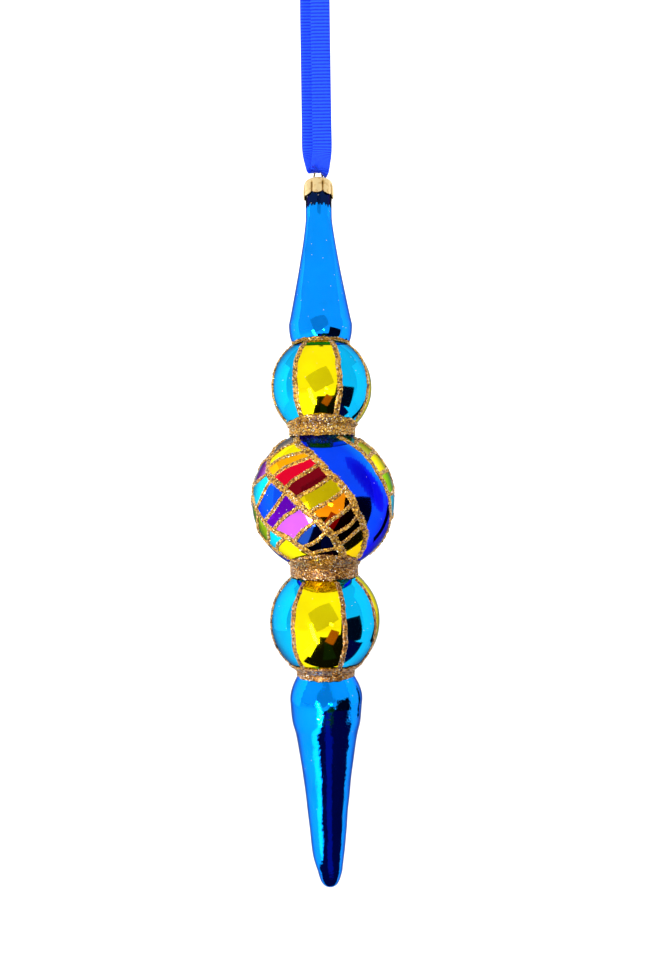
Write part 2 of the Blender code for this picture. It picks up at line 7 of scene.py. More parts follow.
# %% Load the fixed frame
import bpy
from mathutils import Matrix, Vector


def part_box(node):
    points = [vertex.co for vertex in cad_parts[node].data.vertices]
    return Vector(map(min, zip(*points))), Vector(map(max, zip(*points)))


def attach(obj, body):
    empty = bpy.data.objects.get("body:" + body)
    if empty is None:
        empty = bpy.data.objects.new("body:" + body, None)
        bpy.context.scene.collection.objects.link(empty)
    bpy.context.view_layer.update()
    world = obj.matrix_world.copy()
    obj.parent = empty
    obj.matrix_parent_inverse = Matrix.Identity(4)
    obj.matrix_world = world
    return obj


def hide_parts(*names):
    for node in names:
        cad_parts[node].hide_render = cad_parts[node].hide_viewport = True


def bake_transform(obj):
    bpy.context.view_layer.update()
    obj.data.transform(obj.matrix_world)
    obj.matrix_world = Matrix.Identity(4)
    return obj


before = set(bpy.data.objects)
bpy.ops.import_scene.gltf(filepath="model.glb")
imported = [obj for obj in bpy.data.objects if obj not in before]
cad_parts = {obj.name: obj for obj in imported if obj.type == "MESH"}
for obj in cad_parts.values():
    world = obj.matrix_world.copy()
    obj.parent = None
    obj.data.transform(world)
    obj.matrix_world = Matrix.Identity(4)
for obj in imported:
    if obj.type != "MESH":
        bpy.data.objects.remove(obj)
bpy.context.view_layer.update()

import math
import bmesh
import bpy
import numpy as np
from mathutils import Matrix, Vector

scene = bpy.context.scene
MM = 0.001

# %% [markdown]
# ## Levels
# The glass is a stack: neck, spire, three balls and an icicle. Only the rim and the tip are read from the
# frame. The balls' radii are design sizes, and each level follows from where a ball shrinks to its neck.

# %% Sizes and levels of the glass
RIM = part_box("glass_body")[1].z
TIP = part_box("glass_body")[0].z
CAP_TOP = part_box("cap")[1].z
NECK_RADIUS = 4.7 * MM
SPIRE_RADIUS = 11.4 * MM
TOP_GROOVE_RADIUS = 9.2 * MM
UPPER_BALL_RADIUS = 18.0 * MM
UPPER_NECK_RADIUS = 10.8 * MM
MIDDLE_BALL_RADIUS = 25.5 * MM
LOWER_NECK_RADIUS = 11.4 * MM
LOWER_BALL_RADIUS = 19.6 * MM
DRIP_GROOVE_RADIUS = 8.9 * MM
DRIP_RADIUS = 13.0 * MM
SPIRE_START = RIM - 12.5 * MM
SPIRE_WIDEST = SPIRE_START - 38.2 * MM
TOP_GROOVE = SPIRE_WIDEST - 7.1 * MM


def pole_distance(radius, neck):
    """From a ball's centre to the plane where it has shrunk to its neck."""
    return math.sqrt(radius ** 2 - neck ** 2)


UPPER_BALL = TOP_GROOVE - pole_distance(UPPER_BALL_RADIUS, TOP_GROOVE_RADIUS)
UPPER_NECK_TOP = UPPER_BALL - pole_distance(UPPER_BALL_RADIUS, UPPER_NECK_RADIUS)
UPPER_NECK_BOTTOM = UPPER_NECK_TOP - 2.7 * MM
MIDDLE_BALL = UPPER_NECK_BOTTOM - pole_distance(MIDDLE_BALL_RADIUS, UPPER_NECK_RADIUS)
LOWER_NECK_TOP = MIDDLE_BALL - pole_distance(MIDDLE_BALL_RADIUS, LOWER_NECK_RADIUS)
LOWER_NECK_BOTTOM = LOWER_NECK_TOP - 4.0 * MM
LOWER_BALL = LOWER_NECK_BOTTOM - pole_distance(LOWER_BALL_RADIUS, LOWER_NECK_RADIUS)
DRIP_GROOVE = LOWER_BALL - pole_distance(LOWER_BALL_RADIUS, DRIP_GROOVE_RADIUS)
DRIP_WIDEST = DRIP_GROOVE - 10.8 * MM
print("middle ball's centre:", round(MIDDLE_BALL, 4), "tip:", round(TIP, 4))

# %% [markdown]
# ## The camera
# The ornament is looked at from close by, level with the middle of the glass, so the cap is seen from
# below and the icicle from above. The frame leans almost one degree, as a hand-held shot does.

# %% Camera
VIEW_DISTANCE = 212 * MM
VIEW_LEVEL = TIP + 144.4 * MM
VIEW_ROLL = 0.88                     # degrees
VIEW_SHIFT = -0.15 * MM
FOCAL = 590 / 968 * 36               # mm of lens for a sensor 36 mm high

bpy.ops.object.camera_add(location=(VIEW_SHIFT, -VIEW_DISTANCE, VIEW_LEVEL))
camera = bpy.context.object
camera.rotation_euler = (math.radians(90), math.radians(VIEW_ROLL), 0)
camera.data.lens = FOCAL
camera.data.sensor_width = 36
camera.data.clip_start = 0.01
scene.camera = camera

# %% [markdown]
# ## Small tools
# Colours are written as sRGB hex and turned to linear once. One function adds a shader node with its
# settings and links. Another closes a piece: it applies its place to its mesh, gives it its material, rides
# it on its body and hides the mechanical nodes it stands for.

# %% Helpers
def colour(code):
    """Linear RGBA from an sRGB hex code."""
    parts = [int(code[k:k + 2], 16) / 255 for k in (1, 3, 5)]
    return (*[c / 12.92 if c <= 0.04045 else ((c + 0.055) / 1.055) ** 2.4 for c in parts], 1.0)


def add_node(tree, kind, links=None, **settings):
    """Adds a node; a setting named i_NAME or i_NUMBER fills an input, and links joins sockets to inputs."""
    made = tree.nodes.new(kind)
    for key, value in settings.items():
        if key.startswith("i_"):
            name = key[2:]
            made.inputs[int(name) if name.isdigit() else name.replace("_", " ")].default_value = value
        else:
            setattr(made, key, value)
    for name, socket in (links or {}).items():
        tree.links.new(socket, made.inputs[name])
    return made


def new_material(name, **shader_values):
    """A material with a bare Principled shader; returns the material, its tree and the shader."""
    made = bpy.data.materials.new(name)
    made.use_nodes = True
    tree = made.node_tree
    shader = tree.nodes["Principled BSDF"]
    for key, value in shader_values.items():
        shader.inputs[key.replace("_", " ")].default_value = value
    return made, tree, shader


def ramp(tree, source, stops):
    """A colour ramp fed by a value, with (place, hex) stops."""
    made = add_node(tree, "ShaderNodeValToRGB", {"Fac": source})
    elements = made.color_ramp.elements
    while len(elements) < len(stops):
        elements.new(0.5)
    for element, (place, code) in zip(elements, stops):
        element.position = place
        element.color = colour(code)
    return made.outputs["Color"]


def deselect():
    bpy.ops.object.select_all(action="DESELECT")


def only(thing):
    """Selects one object and makes it the active one."""
    deselect()
    thing.select_set(True)
    bpy.context.view_layer.objects.active = thing


def finish_piece(thing, name, body, nodes, finish):
    """Names a finished mesh, gives it its material, rides it on its body and hides the nodes it replaces."""
    only(thing)
    bpy.ops.object.transform_apply(location=True, rotation=True, scale=True)
    thing.name = name
    thing.data.name = name
    thing.data.materials.clear()
    thing.data.materials.append(finish)
    if nodes:
        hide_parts(*nodes)
    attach(thing, body)
    print(name, len(thing.data.polygons), "faces")
    return thing


def smooth_through(points, steps):
    """Points along a Catmull-Rom curve through the given points, `steps` to each stretch."""
    points = [Vector(p) for p in points]
    ends = [2 * points[0] - points[1], *points, 2 * points[-1] - points[-2]]
    curve = []
    for a, b, c, d in zip(ends, ends[1:], ends[2:], ends[3:]):
        for k in range(steps):
            t = k / steps
            curve.append(0.5 * (2 * b + (c - a) * t + (2 * a - 5 * b + 4 * c - d) * t ** 2
                                + (3 * b - a - 3 * c + d) * t ** 3))
    curve.append(points[-1])
    return curve


def spun_outline(outline, steps):
    """Drags a circle of points into a closed (radius, height) outline and spins it round the axis.

    The run between two points on the axis is deleted first, so that no face is made there.
    """
    deselect()
    bpy.ops.mesh.primitive_circle_add(vertices=len(outline), radius=0.01)
    thing = bpy.context.object
    for vert, (radius, height) in zip(thing.data.vertices, outline):
        vert.co = (radius, 0, height)
    bpy.ops.object.mode_set(mode="EDIT")
    bm = bmesh.from_edit_mesh(thing.data)
    on_axis = [e for e in bm.edges if all(abs(v.co.x) < 1e-7 for v in e.verts)]
    bmesh.ops.delete(bm, geom=on_axis, context="EDGES_FACES")
    bmesh.update_edit_mesh(thing.data)
    bpy.ops.mesh.select_all(action="SELECT")
    bpy.ops.mesh.spin(steps=steps, angle=2 * math.pi, center=(0, 0, 0), axis=(0, 0, 1))
    bpy.ops.mesh.select_all(action="SELECT")
    bpy.ops.mesh.remove_doubles(threshold=0.000004)
    bpy.ops.mesh.normals_make_consistent(inside=False)
    bpy.ops.object.mode_set(mode="OBJECT")
    bpy.ops.object.shade_smooth()
    return thing


def read_points(mesh):
    points = np.zeros(len(mesh.vertices) * 3)
    mesh.vertices.foreach_get("co", points)
    return points.reshape(-1, 3)


def write_points(mesh, points):
    mesh.vertices.foreach_set("co", points.astype(np.float32).ravel())
    mesh.update()


def object_from(name, points, faces):
    """A mesh object from arrays of points and equal-sided faces."""
    mesh = bpy.data.meshes.new(name)
    mesh.from_pydata([tuple(p) for p in points], [], [tuple(f) for f in faces])
    mesh.update()
    made = bpy.data.objects.new(name, mesh)
    scene.collection.objects.link(made)
    return made

# %% [markdown]
# ## The ribbon loop
# The ornament hangs from a loop of 7 mm grosgrain: a stiff woven band with thick ribs across it and a smooth
# selvage along each edge. One length runs down in front, through the wire eye and up behind. A camera this
# close sees the ribs themselves, so they are modelled: rows of points run along the ribbon, and each row
# moves out or in to make ribs. The loop is made before the hard parts because it is a limp line whose
# length is fixed.

# %% One strip of grosgrain
RIBBON_WIDTH = 7.0 * MM
RIB_PITCH = 1.17 * MM
RIB_HEIGHT = 0.10 * MM
RIBBON_HALF = 0.11 * MM              # half the thickness between the ribs
ROWS_PER_RIB = 8
SELVAGE = 0.09                       # share of the half width without ribs
COLUMNS = (-1.0, -0.975, -0.91, -0.88, -0.6, -0.3, 0.0, 0.3, 0.6, 0.88, 0.91, 0.975, 1.0)


def even_points(curve, spacing):
    """Points along a polyline at an even spacing."""
    lengths = [0.0]
    for a, b in zip(curve, curve[1:]):
        lengths.append(lengths[-1] + (b - a).length)
    count = max(2, round(lengths[-1] / spacing))
    where = np.linspace(0, lengths[-1], count + 1)
    table = np.array([tuple(p) for p in curve])
    return [Vector([np.interp(w, lengths, table[:, k]) for k in range(len(curve[0]))]) for w in where]


def grosgrain_strip(name, stations, across=Vector((1, 0, 0)), slant=0.0, pleats=1.4, closed=False):
    """A ribbed ribbon along (x, y, z, width share) stations; returns the object and its centre line.

    Where the ribbon is gathered to less than its width it folds into pleats. A slant skews its last end.
    """
    curve = [Vector((*p,)) for p in smooth_4d(stations)]
    rows = even_points(curve, RIB_PITCH / ROWS_PER_RIB)
    centres = [Vector(row[:3]) for row in rows]
    points, along, sideways = [], [], []
    for k, centre in enumerate(centres):
        before = centres[k - 1] if k else (centres[-2] if closed else centre)
        after = centres[k + 1] if k + 1 < len(centres) else (centres[1] if closed else centre)
        run = (after - before).normalized()
        wide = (across - run * across.dot(run)).normalized()
        out = wide.cross(run)
        share = rows[k][3]
        rib = abs(math.sin(math.pi * k / ROWS_PER_RIB)) ** 0.7
        from_end = (len(centres) - 1 - k) * RIB_PITCH / ROWS_PER_RIB
        skew = slant * max(0.0, 1 - from_end / (4 * MM)) if not closed else 0.0
        for face in (1, -1):
            for u in COLUMNS[::face]:
                rounded = math.sqrt(max(1 - max(abs(u) - 0.94, 0) ** 2 / 0.06 ** 2, 0.05))
                height = RIBBON_HALF * rounded + (RIB_HEIGHT * rib if abs(u) < 1 - SELVAGE - 0.01 else 0.0)
                fold = (1 - share) * pleats * MM * math.cos(2.5 * math.pi * u)
                points.append(centre + wide * (u * share * RIBBON_WIDTH / 2) + out * (face * height + fold)
                              + run * (skew * u))
                along.append(k / ROWS_PER_RIB)
                sideways.append(u)
    ring = 2 * len(COLUMNS)
    faces = []
    for k in range(len(centres) - 1):
        for j in range(ring):
            n = (j + 1) % ring
            faces.append((k * ring + j, k * ring + n, (k + 1) * ring + n, (k + 1) * ring + j))
    if not closed:
        faces += [tuple(range(ring))[::-1], tuple(range((len(centres) - 1) * ring, len(centres) * ring))]
    made = object_from(name, points, faces)
    for key, values in (("rib", along), ("side", sideways)):
        stored = made.data.attributes.new(key, "FLOAT", "POINT")
        stored.data.foreach_set("value", np.array(values, np.float32))
    only(made)
    bpy.ops.object.mode_set(mode="EDIT")
    bpy.ops.mesh.select_all(action="SELECT")
    bpy.ops.mesh.normals_make_consistent(inside=False)
    bpy.ops.object.mode_set(mode="OBJECT")
    bpy.ops.object.shade_smooth_by_angle(angle=math.radians(55))
    return made, centres


def smooth_4d(stations, steps=10):
    """A Catmull-Rom curve through stations of four numbers, so that the width flows with the place."""
    stations = [Vector(s) for s in stations]
    ends = [2 * stations[0] - stations[1], *stations, 2 * stations[-1] - stations[-2]]
    curve = []
    for a, b, c, d in zip(ends, ends[1:], ends[2:], ends[3:]):
        for k in range(steps):
            t = k / steps
            curve.append(0.5 * (2 * b + (c - a) * t + (2 * a - 5 * b + 4 * c - d) * t ** 2
                                + (3 * b - a - 3 * c + d) * t ** 3))
    curve.append(stations[-1])
    return curve


# %% [markdown]
# ### The cloth of the ribbon
# Grosgrain is polyester with a soft sheen. Its ribs are painted lighter on their crests, a painted highlight,
# and darker between them, a painted shade; the warp shows as very fine lines along it. Both come from the
# two numbers stored on the strip: the count of ribs along it and the place across it. Fine threads are a
# bump, because they are far too small to model.

# %% Grosgrain material
def grosgrain(name):
    made, tree, shader = new_material(name, Roughness=0.55, Specular_IOR_Level=0.22, Sheen_Weight=0.06,
                                      Sheen_Roughness=0.4, Sheen_Tint=colour("#4C84FF"))
    rib = add_node(tree, "ShaderNodeAttribute", attribute_name="rib").outputs["Fac"]
    side = add_node(tree, "ShaderNodeAttribute", attribute_name="side").outputs["Fac"]
    turn = add_node(tree, "ShaderNodeMath", {0: rib}, operation="MULTIPLY", i_1=math.pi)
    wave = add_node(tree, "ShaderNodeMath", {0: turn.outputs[0]}, operation="SINE")
    # where each rib is highest; this places the painted highlight on the ribs
    crest = add_node(tree, "ShaderNodeMath", {0: wave.outputs[0]}, operation="ABSOLUTE")
    place = add_node(tree, "ShaderNodeTexCoord").outputs["Object"]
    uneven = add_node(tree, "ShaderNodeTexNoise", {"Vector": place}, i_Scale=1 / (1.6 * MM), i_Detail=4.0)
    spread = add_node(tree, "ShaderNodeMath", {0: uneven.outputs["Fac"]}, operation="MULTIPLY", i_1=0.3)
    # painted highlight on the rib crests and painted shade between the ribs, with a random mottle from the
    # noise
    painted_rib_highlight_and_mottle = add_node(tree, "ShaderNodeMath", {0: crest.outputs[0], 1: spread.outputs[0]}, operation="ADD")
    tree.links.new(ramp(tree, painted_rib_highlight_and_mottle.outputs[0], ((0.0, "#011A98"), (0.35, "#022CD4"), (0.8, "#033AEC"),
                                                (0.95, "#1C56F6"))), shader.inputs["Base Color"])
    # 28 warp ends across the width, seen as fine lines along the ribbon
    ends = add_node(tree, "ShaderNodeMath", {0: side}, operation="MULTIPLY", i_1=28 * math.pi)
    warp = add_node(tree, "ShaderNodeMath", {0: ends.outputs[0]}, operation="SINE")
    fibre = add_node(tree, "ShaderNodeTexNoise", {"Vector": place}, i_Scale=1 / (0.25 * MM), i_Detail=2.0)
    thread = add_node(tree, "ShaderNodeMath", {0: warp.outputs[0], 1: fibre.outputs["Fac"]}, operation="ADD")
    bump = add_node(tree, "ShaderNodeBump", {"Height": thread.outputs[0]}, i_Strength=0.5,
                    i_Distance=0.03 * MM)
    tree.links.new(bump.outputs[0], shader.inputs["Normal"])
    return made


ribbon_cloth = grosgrain("woven_blue_grosgrain")

# %% The loop
FOLD_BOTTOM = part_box("ribbon_fold")[0].z
KNOT_LOW, KNOT_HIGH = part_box("ribbon_knot")
SETBACK = 2.1 * MM
BULGE = 3.6 * MM
FRONT_SHIFT = 1.6 * MM
BACK_SHIFT = -2.3 * MM
STRAND_TOP = 0.0006                  # where each strand goes into the knot
LOOP_PLEATS = 0.7                    # mm, depth of the folds where the ribbon is gathered


def strand(side, shift, drop, gather):
    """Stations of one strand, from the knot down to its lowest place, then gathered towards the eye."""
    bottom = FOLD_BOTTOM + drop
    rise = STRAND_TOP - bottom
    rows = [
        (shift * 0.15, BULGE * 0.2, 1.022, 0.62),
        (shift * 0.3, BULGE * 0.5, 0.998, 0.85),
        (shift * 0.6, BULGE * 0.85, 0.972, 0.95),
        (shift * 0.9, BULGE, 0.93, 0.97),
        (shift, SETBACK * 1.7, 0.78, 0.97),
        (shift, SETBACK * 1.45, 0.60, 0.97),
        (shift, SETBACK * 1.2, 0.42, 0.97),
        (shift, SETBACK * 1.08, 0.22, 0.97),
        (shift, SETBACK * 1.04, 0.10, 0.97),
        (shift * 0.62, SETBACK, 0.035, 0.96),
        (shift * 0.42, SETBACK * 0.98, 0.010, 0.95),
        (shift * 0.36, SETBACK * 0.97, 0.0012, 0.93),
    ]
    rows = [(x, side * y, bottom + rise * share, width) for x, y, share, width in rows]
    return rows + [(shift * x, side * SETBACK * y, FOLD_BOTTOM + z * MM, width) for x, y, z, width in gather]


# The front strand is folded under at its bottom, and both are gathered to pass the eye.
# They stay narrow near the eye, to leave the wire's legs room to swing. At the ends of the swing and of the
# cap's lift the ribbon still touches the wire and the cap a little.
FRONT_GATHER = ((0.30, 0.93, -1.04, 0.78), (0.14, 0.70, -0.34, 0.22), (0.05, 0.34, 0.06, 0.18))
BACK_GATHER = ((0.30, 0.90, 0.70, 0.78), (0.14, 0.64, 0.56, 0.24), (0.05, 0.32, 0.36, 0.18))
eye_pass = (0.0, 0.0, FOLD_BOTTOM + 0.24 * MM, 0.15)
loop_stations = [*strand(-1, FRONT_SHIFT, -1.1 * MM, FRONT_GATHER), eye_pass,
                 *strand(1, BACK_SHIFT, 1.3 * MM, BACK_GATHER)[::-1]]
loop, loop_line = grosgrain_strip("ribbon_loop", loop_stations, pleats=LOOP_PLEATS)
loop_length = sum((b - a).length for a, b in zip(loop_line, loop_line[1:]))
print("ribbon in the loop:", round(loop_length, 4), "m")

# %% [markdown]
# ### Knot and tails
# The two ends of the ribbon are tied together in one overhand knot, and cut off at a slant above it. A knot
# in ribbon is a crumpled core with two turns of the band drawn over it at an angle. Each turn is the same
# strip closed into a ring.

# %% Knot
TURN_PLEATS = 2.0
RING_STEPS = 24


def wrapped_turn(name, tilt, swell, width):
    """A closed ring of ribbon round the knot, tilted about the Y axis."""
    middle = (KNOT_LOW + KNOT_HIGH) / 2
    half = (KNOT_HIGH - KNOT_LOW) / 2
    turned = Matrix.Rotation(math.radians(tilt), 3, "Y")
    ring = []
    for k in range(RING_STEPS + 1):
        a = 2 * math.pi * k / RING_STEPS
        place = turned @ Vector((half.x * swell * math.cos(a), half.y * swell * math.sin(a), 0.0)) + middle
        ring.append((*place, width + 0.05 * math.sin(3 * a)))
    return grosgrain_strip(name, ring, across=turned @ Vector((0, 0, 1)), closed=True, pleats=TURN_PLEATS)[0]


def knot_core():
    """The crumpled middle of the knot: a pinched ball with deep creases."""
    deselect()
    bpy.ops.mesh.primitive_uv_sphere_add(segments=72, ring_count=48, radius=0.5)
    core = bpy.context.object
    size = KNOT_HIGH - KNOT_LOW
    middle = (KNOT_HIGH + KNOT_LOW) / 2
    points = read_points(core.data)
    turn = np.arctan2(points[:, 1], points[:, 0])
    crease = 1 - 0.16 * np.abs(np.sin(3.5 * turn + 6 * points[:, 2])) ** 2 - 0.05 * np.sin(9 * turn)
    points[:, :2] *= crease[:, None] * 0.94
    points *= np.array(tuple(size))
    points += np.array(tuple(middle))
    write_points(core.data, points)
    for key, values in (("rib", points[:, 2] / RIB_PITCH * 2), ("side", np.sin(turn))):
        stored = core.data.attributes.new(key, "FLOAT", "POINT")
        stored.data.foreach_set("value", values.astype(np.float32))
    only(core)
    bpy.ops.object.shade_smooth()
    return core


knot = knot_core()
turns = [wrapped_turn("turn_one", 16, 0.94, 0.62), wrapped_turn("turn_two", -38, 0.88, 0.5)]
only(knot)
for ring in turns:
    ring.select_set(True)
bpy.ops.object.join()
knot = finish_piece(knot, "ribbon_overhand_knot", "ribbon", ["ribbon_knot"], ribbon_cloth)

# %% Tails
TAIL_LEAN = math.radians(24)
TAIL_RISE = 15.4 * MM
TAIL_SLANT = 1.7 * MM


def ribbon_tail(name, side, curl):
    """A tail that leaves the knot, leans out and curls a little, with a slanted cut."""
    root = Vector((side * RIBBON_WIDTH * 0.62, 0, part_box(name)[0].z + 1.2 * MM))
    rise = Vector((math.sin(TAIL_LEAN) * side, 0, math.cos(TAIL_LEAN)))
    stations = [(side * 1.6 * MM, 0, KNOT_HIGH.z - 2.4 * MM, 0.55),
                (side * 3.0 * MM, 0, KNOT_HIGH.z - 0.6 * MM, 0.72)]
    for share in (0.08, 0.3, 0.55, 0.8, 1.0):
        place = root + rise * (TAIL_RISE * share) + Vector((0, curl * math.sin(2.2 * share) * MM, 0))
        stations.append((*place, min(1.0, 0.86 + share)))
    return grosgrain_strip(name + "_cloth", stations, slant=side * TAIL_SLANT)[0]


left_tail = ribbon_tail("ribbon_tail_left", -1, 1.6)
right_tail = ribbon_tail("ribbon_tail_right", 1, -1.9)
for tail, side in ((left_tail, "left"), (right_tail, "right")):
    finish_piece(tail, f"ribbon_{side}_tail_cloth", "ribbon", [f"ribbon_tail_{side}"], ribbon_cloth)

# %% The loop gets its cloth
loop.data.materials.append(ribbon_cloth)
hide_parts("ribbon_front_strand", "ribbon_back_strand", "ribbon_fold")
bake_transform(loop)
print("loop, knot and two tails are cloth now")

# %% [markdown]
# ## The glass
# The real body is one piece of blown glass: a mould gives the balls, gravity draws the icicle, and the
# inside is silvered. Its shape is turned, so an outline spun round the axis is the natural way to make it.
# The outline runs down the outside and back up the inside, so the neck is truly open and has a wall.

# %% The outline of the glass
GLASS_WALL = 0.8 * MM
RIM_ROUNDING = 0.9 * MM
SPIRE_CURVE = 1.2
DRIP_OUTLINE = ((0.0, 1.0), (0.11, 0.945), (0.19, 0.85), (0.365, 0.70), (0.60, 0.558), (0.80, 0.455),
                (0.90, 0.36), (0.965, 0.26), (0.99, 0.14), (1.0, 0.0))


def ball_arc(level, radius, start, end, steps):
    """A ball's outline as (radius, height), from the height `start` down to the height `end`."""
    first = math.acos((start - level) / radius)
    last = math.acos((end - level) / radius)
    angles = [first + (last - first) * k / steps for k in range(steps + 1)]
    return [(radius * math.sin(a), level + radius * math.cos(a)) for a in angles]


def glass_outline(steps):
    """The outside of the glass, from the rim down to the tip; `steps` runs along the middle ball."""
    outline = []
    for k in range(5):
        turn = math.radians(18 * k)
        outline.append((NECK_RADIUS - RIM_ROUNDING * (1 - math.sin(turn)) * 0.5,
                        RIM - RIM_ROUNDING * (1 - math.cos(turn))))
    neck_steps = max(1, steps // 4)
    neck_top = RIM - RIM_ROUNDING
    outline += [(NECK_RADIUS, neck_top + (SPIRE_START - neck_top) * k / neck_steps)
                for k in range(1, neck_steps)]
    spire_steps = steps * 3 // 5
    for k in range(spire_steps + 1):
        share = k / spire_steps
        outline.append((NECK_RADIUS + (SPIRE_RADIUS - NECK_RADIUS) * share ** SPIRE_CURVE,
                        SPIRE_START + (SPIRE_WIDEST - SPIRE_START) * share))
    for k in range(1, 10):
        turn = math.radians(9 * k)
        outline.append((TOP_GROOVE_RADIUS + (SPIRE_RADIUS - TOP_GROOVE_RADIUS) * math.cos(turn),
                        SPIRE_WIDEST + (TOP_GROOVE - SPIRE_WIDEST) * math.sin(turn)))
    outline += ball_arc(UPPER_BALL, UPPER_BALL_RADIUS, TOP_GROOVE, UPPER_NECK_TOP, steps * 4 // 5)
    outline += ball_arc(MIDDLE_BALL, MIDDLE_BALL_RADIUS, UPPER_NECK_BOTTOM, LOWER_NECK_TOP, steps)
    outline += ball_arc(LOWER_BALL, LOWER_BALL_RADIUS, LOWER_NECK_BOTTOM, DRIP_GROOVE, steps * 4 // 5)
    for k in range(1, 12):
        turn = math.radians(90 * k / 12)
        outline.append((DRIP_GROOVE_RADIUS + (DRIP_RADIUS - DRIP_GROOVE_RADIUS) * math.sin(turn) ** 3,
                        DRIP_WIDEST + (DRIP_GROOVE - DRIP_WIDEST) * math.cos(turn)))
    drip = [(DRIP_RADIUS * width, DRIP_WIDEST + (TIP - DRIP_WIDEST) * fall, 0)
            for fall, width in DRIP_OUTLINE]
    outline += [(max(p.x, 0.0), p.y) for p in smooth_through(drip, max(1, steps // 10))]
    return outline


def inward_offset(outline, wall):
    """The same outline moved inwards by the wall, square to the surface."""
    inner = []
    for k, (radius, height) in enumerate(outline):
        before = outline[max(k - 1, 0)]
        after = outline[min(k + 1, len(outline) - 1)]
        along = Vector((after[0] - before[0], after[1] - before[1])).normalized()
        if k == len(outline) - 1:
            along = Vector((-1, 0))
        inner.append((max(radius + wall * along.y, 0.0), height - wall * along.x))
    return inner


# %% Spin the glass
GLASS_COLUMNS = 160
outside = glass_outline(110)
inside = inward_offset(glass_outline(20), GLASS_WALL)
glass = spun_outline(outside + inside[::-1], GLASS_COLUMNS)
glass.name = "blown_glass_body"
print("glass:", len(glass.data.polygons), "faces")

# %% [markdown]
# ## The lines of the decoration
# A decorator pipes lines of glue over the balls and dusts them with glitter, then fills the fields between
# them with transparent lacquer. The upper and lower balls carry eight straight meridians. The middle ball
# carries nine lines that swirl down it, and short dividers cut most of the bands between them into fields.
# The same lines are used twice below: to colour the fields and to lay the glitter on their edges.

# %% Meridians and swirl lines
UPPER_MERIDIANS = (-72.6, -29.6, 19.8, 64.0, 111.0, 154.0, 201.0, 244.0)
LOWER_MERIDIANS = (-74.4, -33.4, 19.6, 61.9, 109.0, 152.0, 199.0, 243.0)
LINE_A = ((64, -50), (50, -29), (37, -10), (12, 14), (-9, 27), (-31, 39), (-50, 45))
LINE_B = ((64, -84), (45, -69), (35, -61), (22, -50), (6, -26), (-14, -4), (-35, 14), (-50, 24))
LINE_C = ((64, -126), (30, -98), (9, -79), (-8, -61), (-20, -48), (-28, -30), (-37, -19), (-50, -3))
LINE_R = ((64, 12), (59, 24), (44, 40), (16, 54), (-4, 64), (-13, 68), (-32, 79), (-50, 84))


def direction(longitude, latitude):
    """Unit vector from a ball's centre; longitude 0 faces -Y and grows towards +X."""
    lon = math.radians(longitude)
    lat = math.radians(latitude)
    return Vector((math.sin(lon) * math.cos(lat), -math.cos(lon) * math.cos(lat), math.sin(lat)))


def line_table(line, shift=0.0):
    """A swirl line as a function from latitude to longitude, through (latitude, longitude) points."""
    curve = smooth_through([(lat, lon, 0) for lat, lon in line], 12)
    lats = np.array([p.x for p in curve])[::-1]
    lons = np.array([p.y for p in curve])[::-1] + shift
    return lambda latitude: np.interp(latitude, lats, lons)


def rule_dividers(count, top, bottom, rise):
    """Dividers at an even pitch down a band, each one `rise` degrees higher on the right."""
    pitch = (top - rise - bottom) / (count - 1)
    return [(top - rise - pitch * k, top - pitch * k) for k in range(count)]


line_q = line_table(LINE_R, 30)
line_a_back = line_table(LINE_A, 148)
SWIRL_LINES = [
    line_table(LINE_A, -170), line_table(LINE_C, -44), line_table(LINE_C), line_table(LINE_B),
    line_table(LINE_A), line_table(LINE_R), line_q,
    lambda latitude: (line_q(latitude) + line_a_back(latitude)) / 2, line_a_back, line_table(LINE_A, 190),
]
# dividers of the band to the right of each line, as (latitude on the left line, latitude on the right line)
BAND_DIVIDERS = [
    rule_dividers(6, 48, -38, 14),
    [(34, 48), (18, 34), (4, 20), (-12, 6), (-26, -8), (-35, -20), (-41, -26)],
    [(40, 50), (25, 36), (10, 22), (-6, 17), (-16, 7), (-21, -2), (-30, -12), (-36, -22), (-41, -35)],
    [(35, 52), (27, 41), (18, 36), (9, 29.5), (1.6, 19), (-8, 9), (-18.5, 0), (-26, -10), (-33, -18)],
    [],
    [(47, 54), (35, 40), (19, 26), (3, 11), (-16, -9), (-32, -26)],
    rule_dividers(6, 50, -36, 12),
    rule_dividers(6, 46, -38, 12),
    [],
]


def divider_ends(band, ends):
    """Unit vectors at the two ends of a divider, and the pole of the great circle through them."""
    left = direction(float(SWIRL_LINES[band](ends[0])), ends[0])
    right = direction(float(SWIRL_LINES[band + 1](ends[1])), ends[1])
    pole = left.cross(right).normalized()
    return left, right, pole if pole.z > 0 else -pole


DIVIDERS = [[divider_ends(band, ends) for ends in rows] for band, rows in enumerate(BAND_DIVIDERS)]
print("dividers on the middle ball:", sum(len(rows) for rows in DIVIDERS))
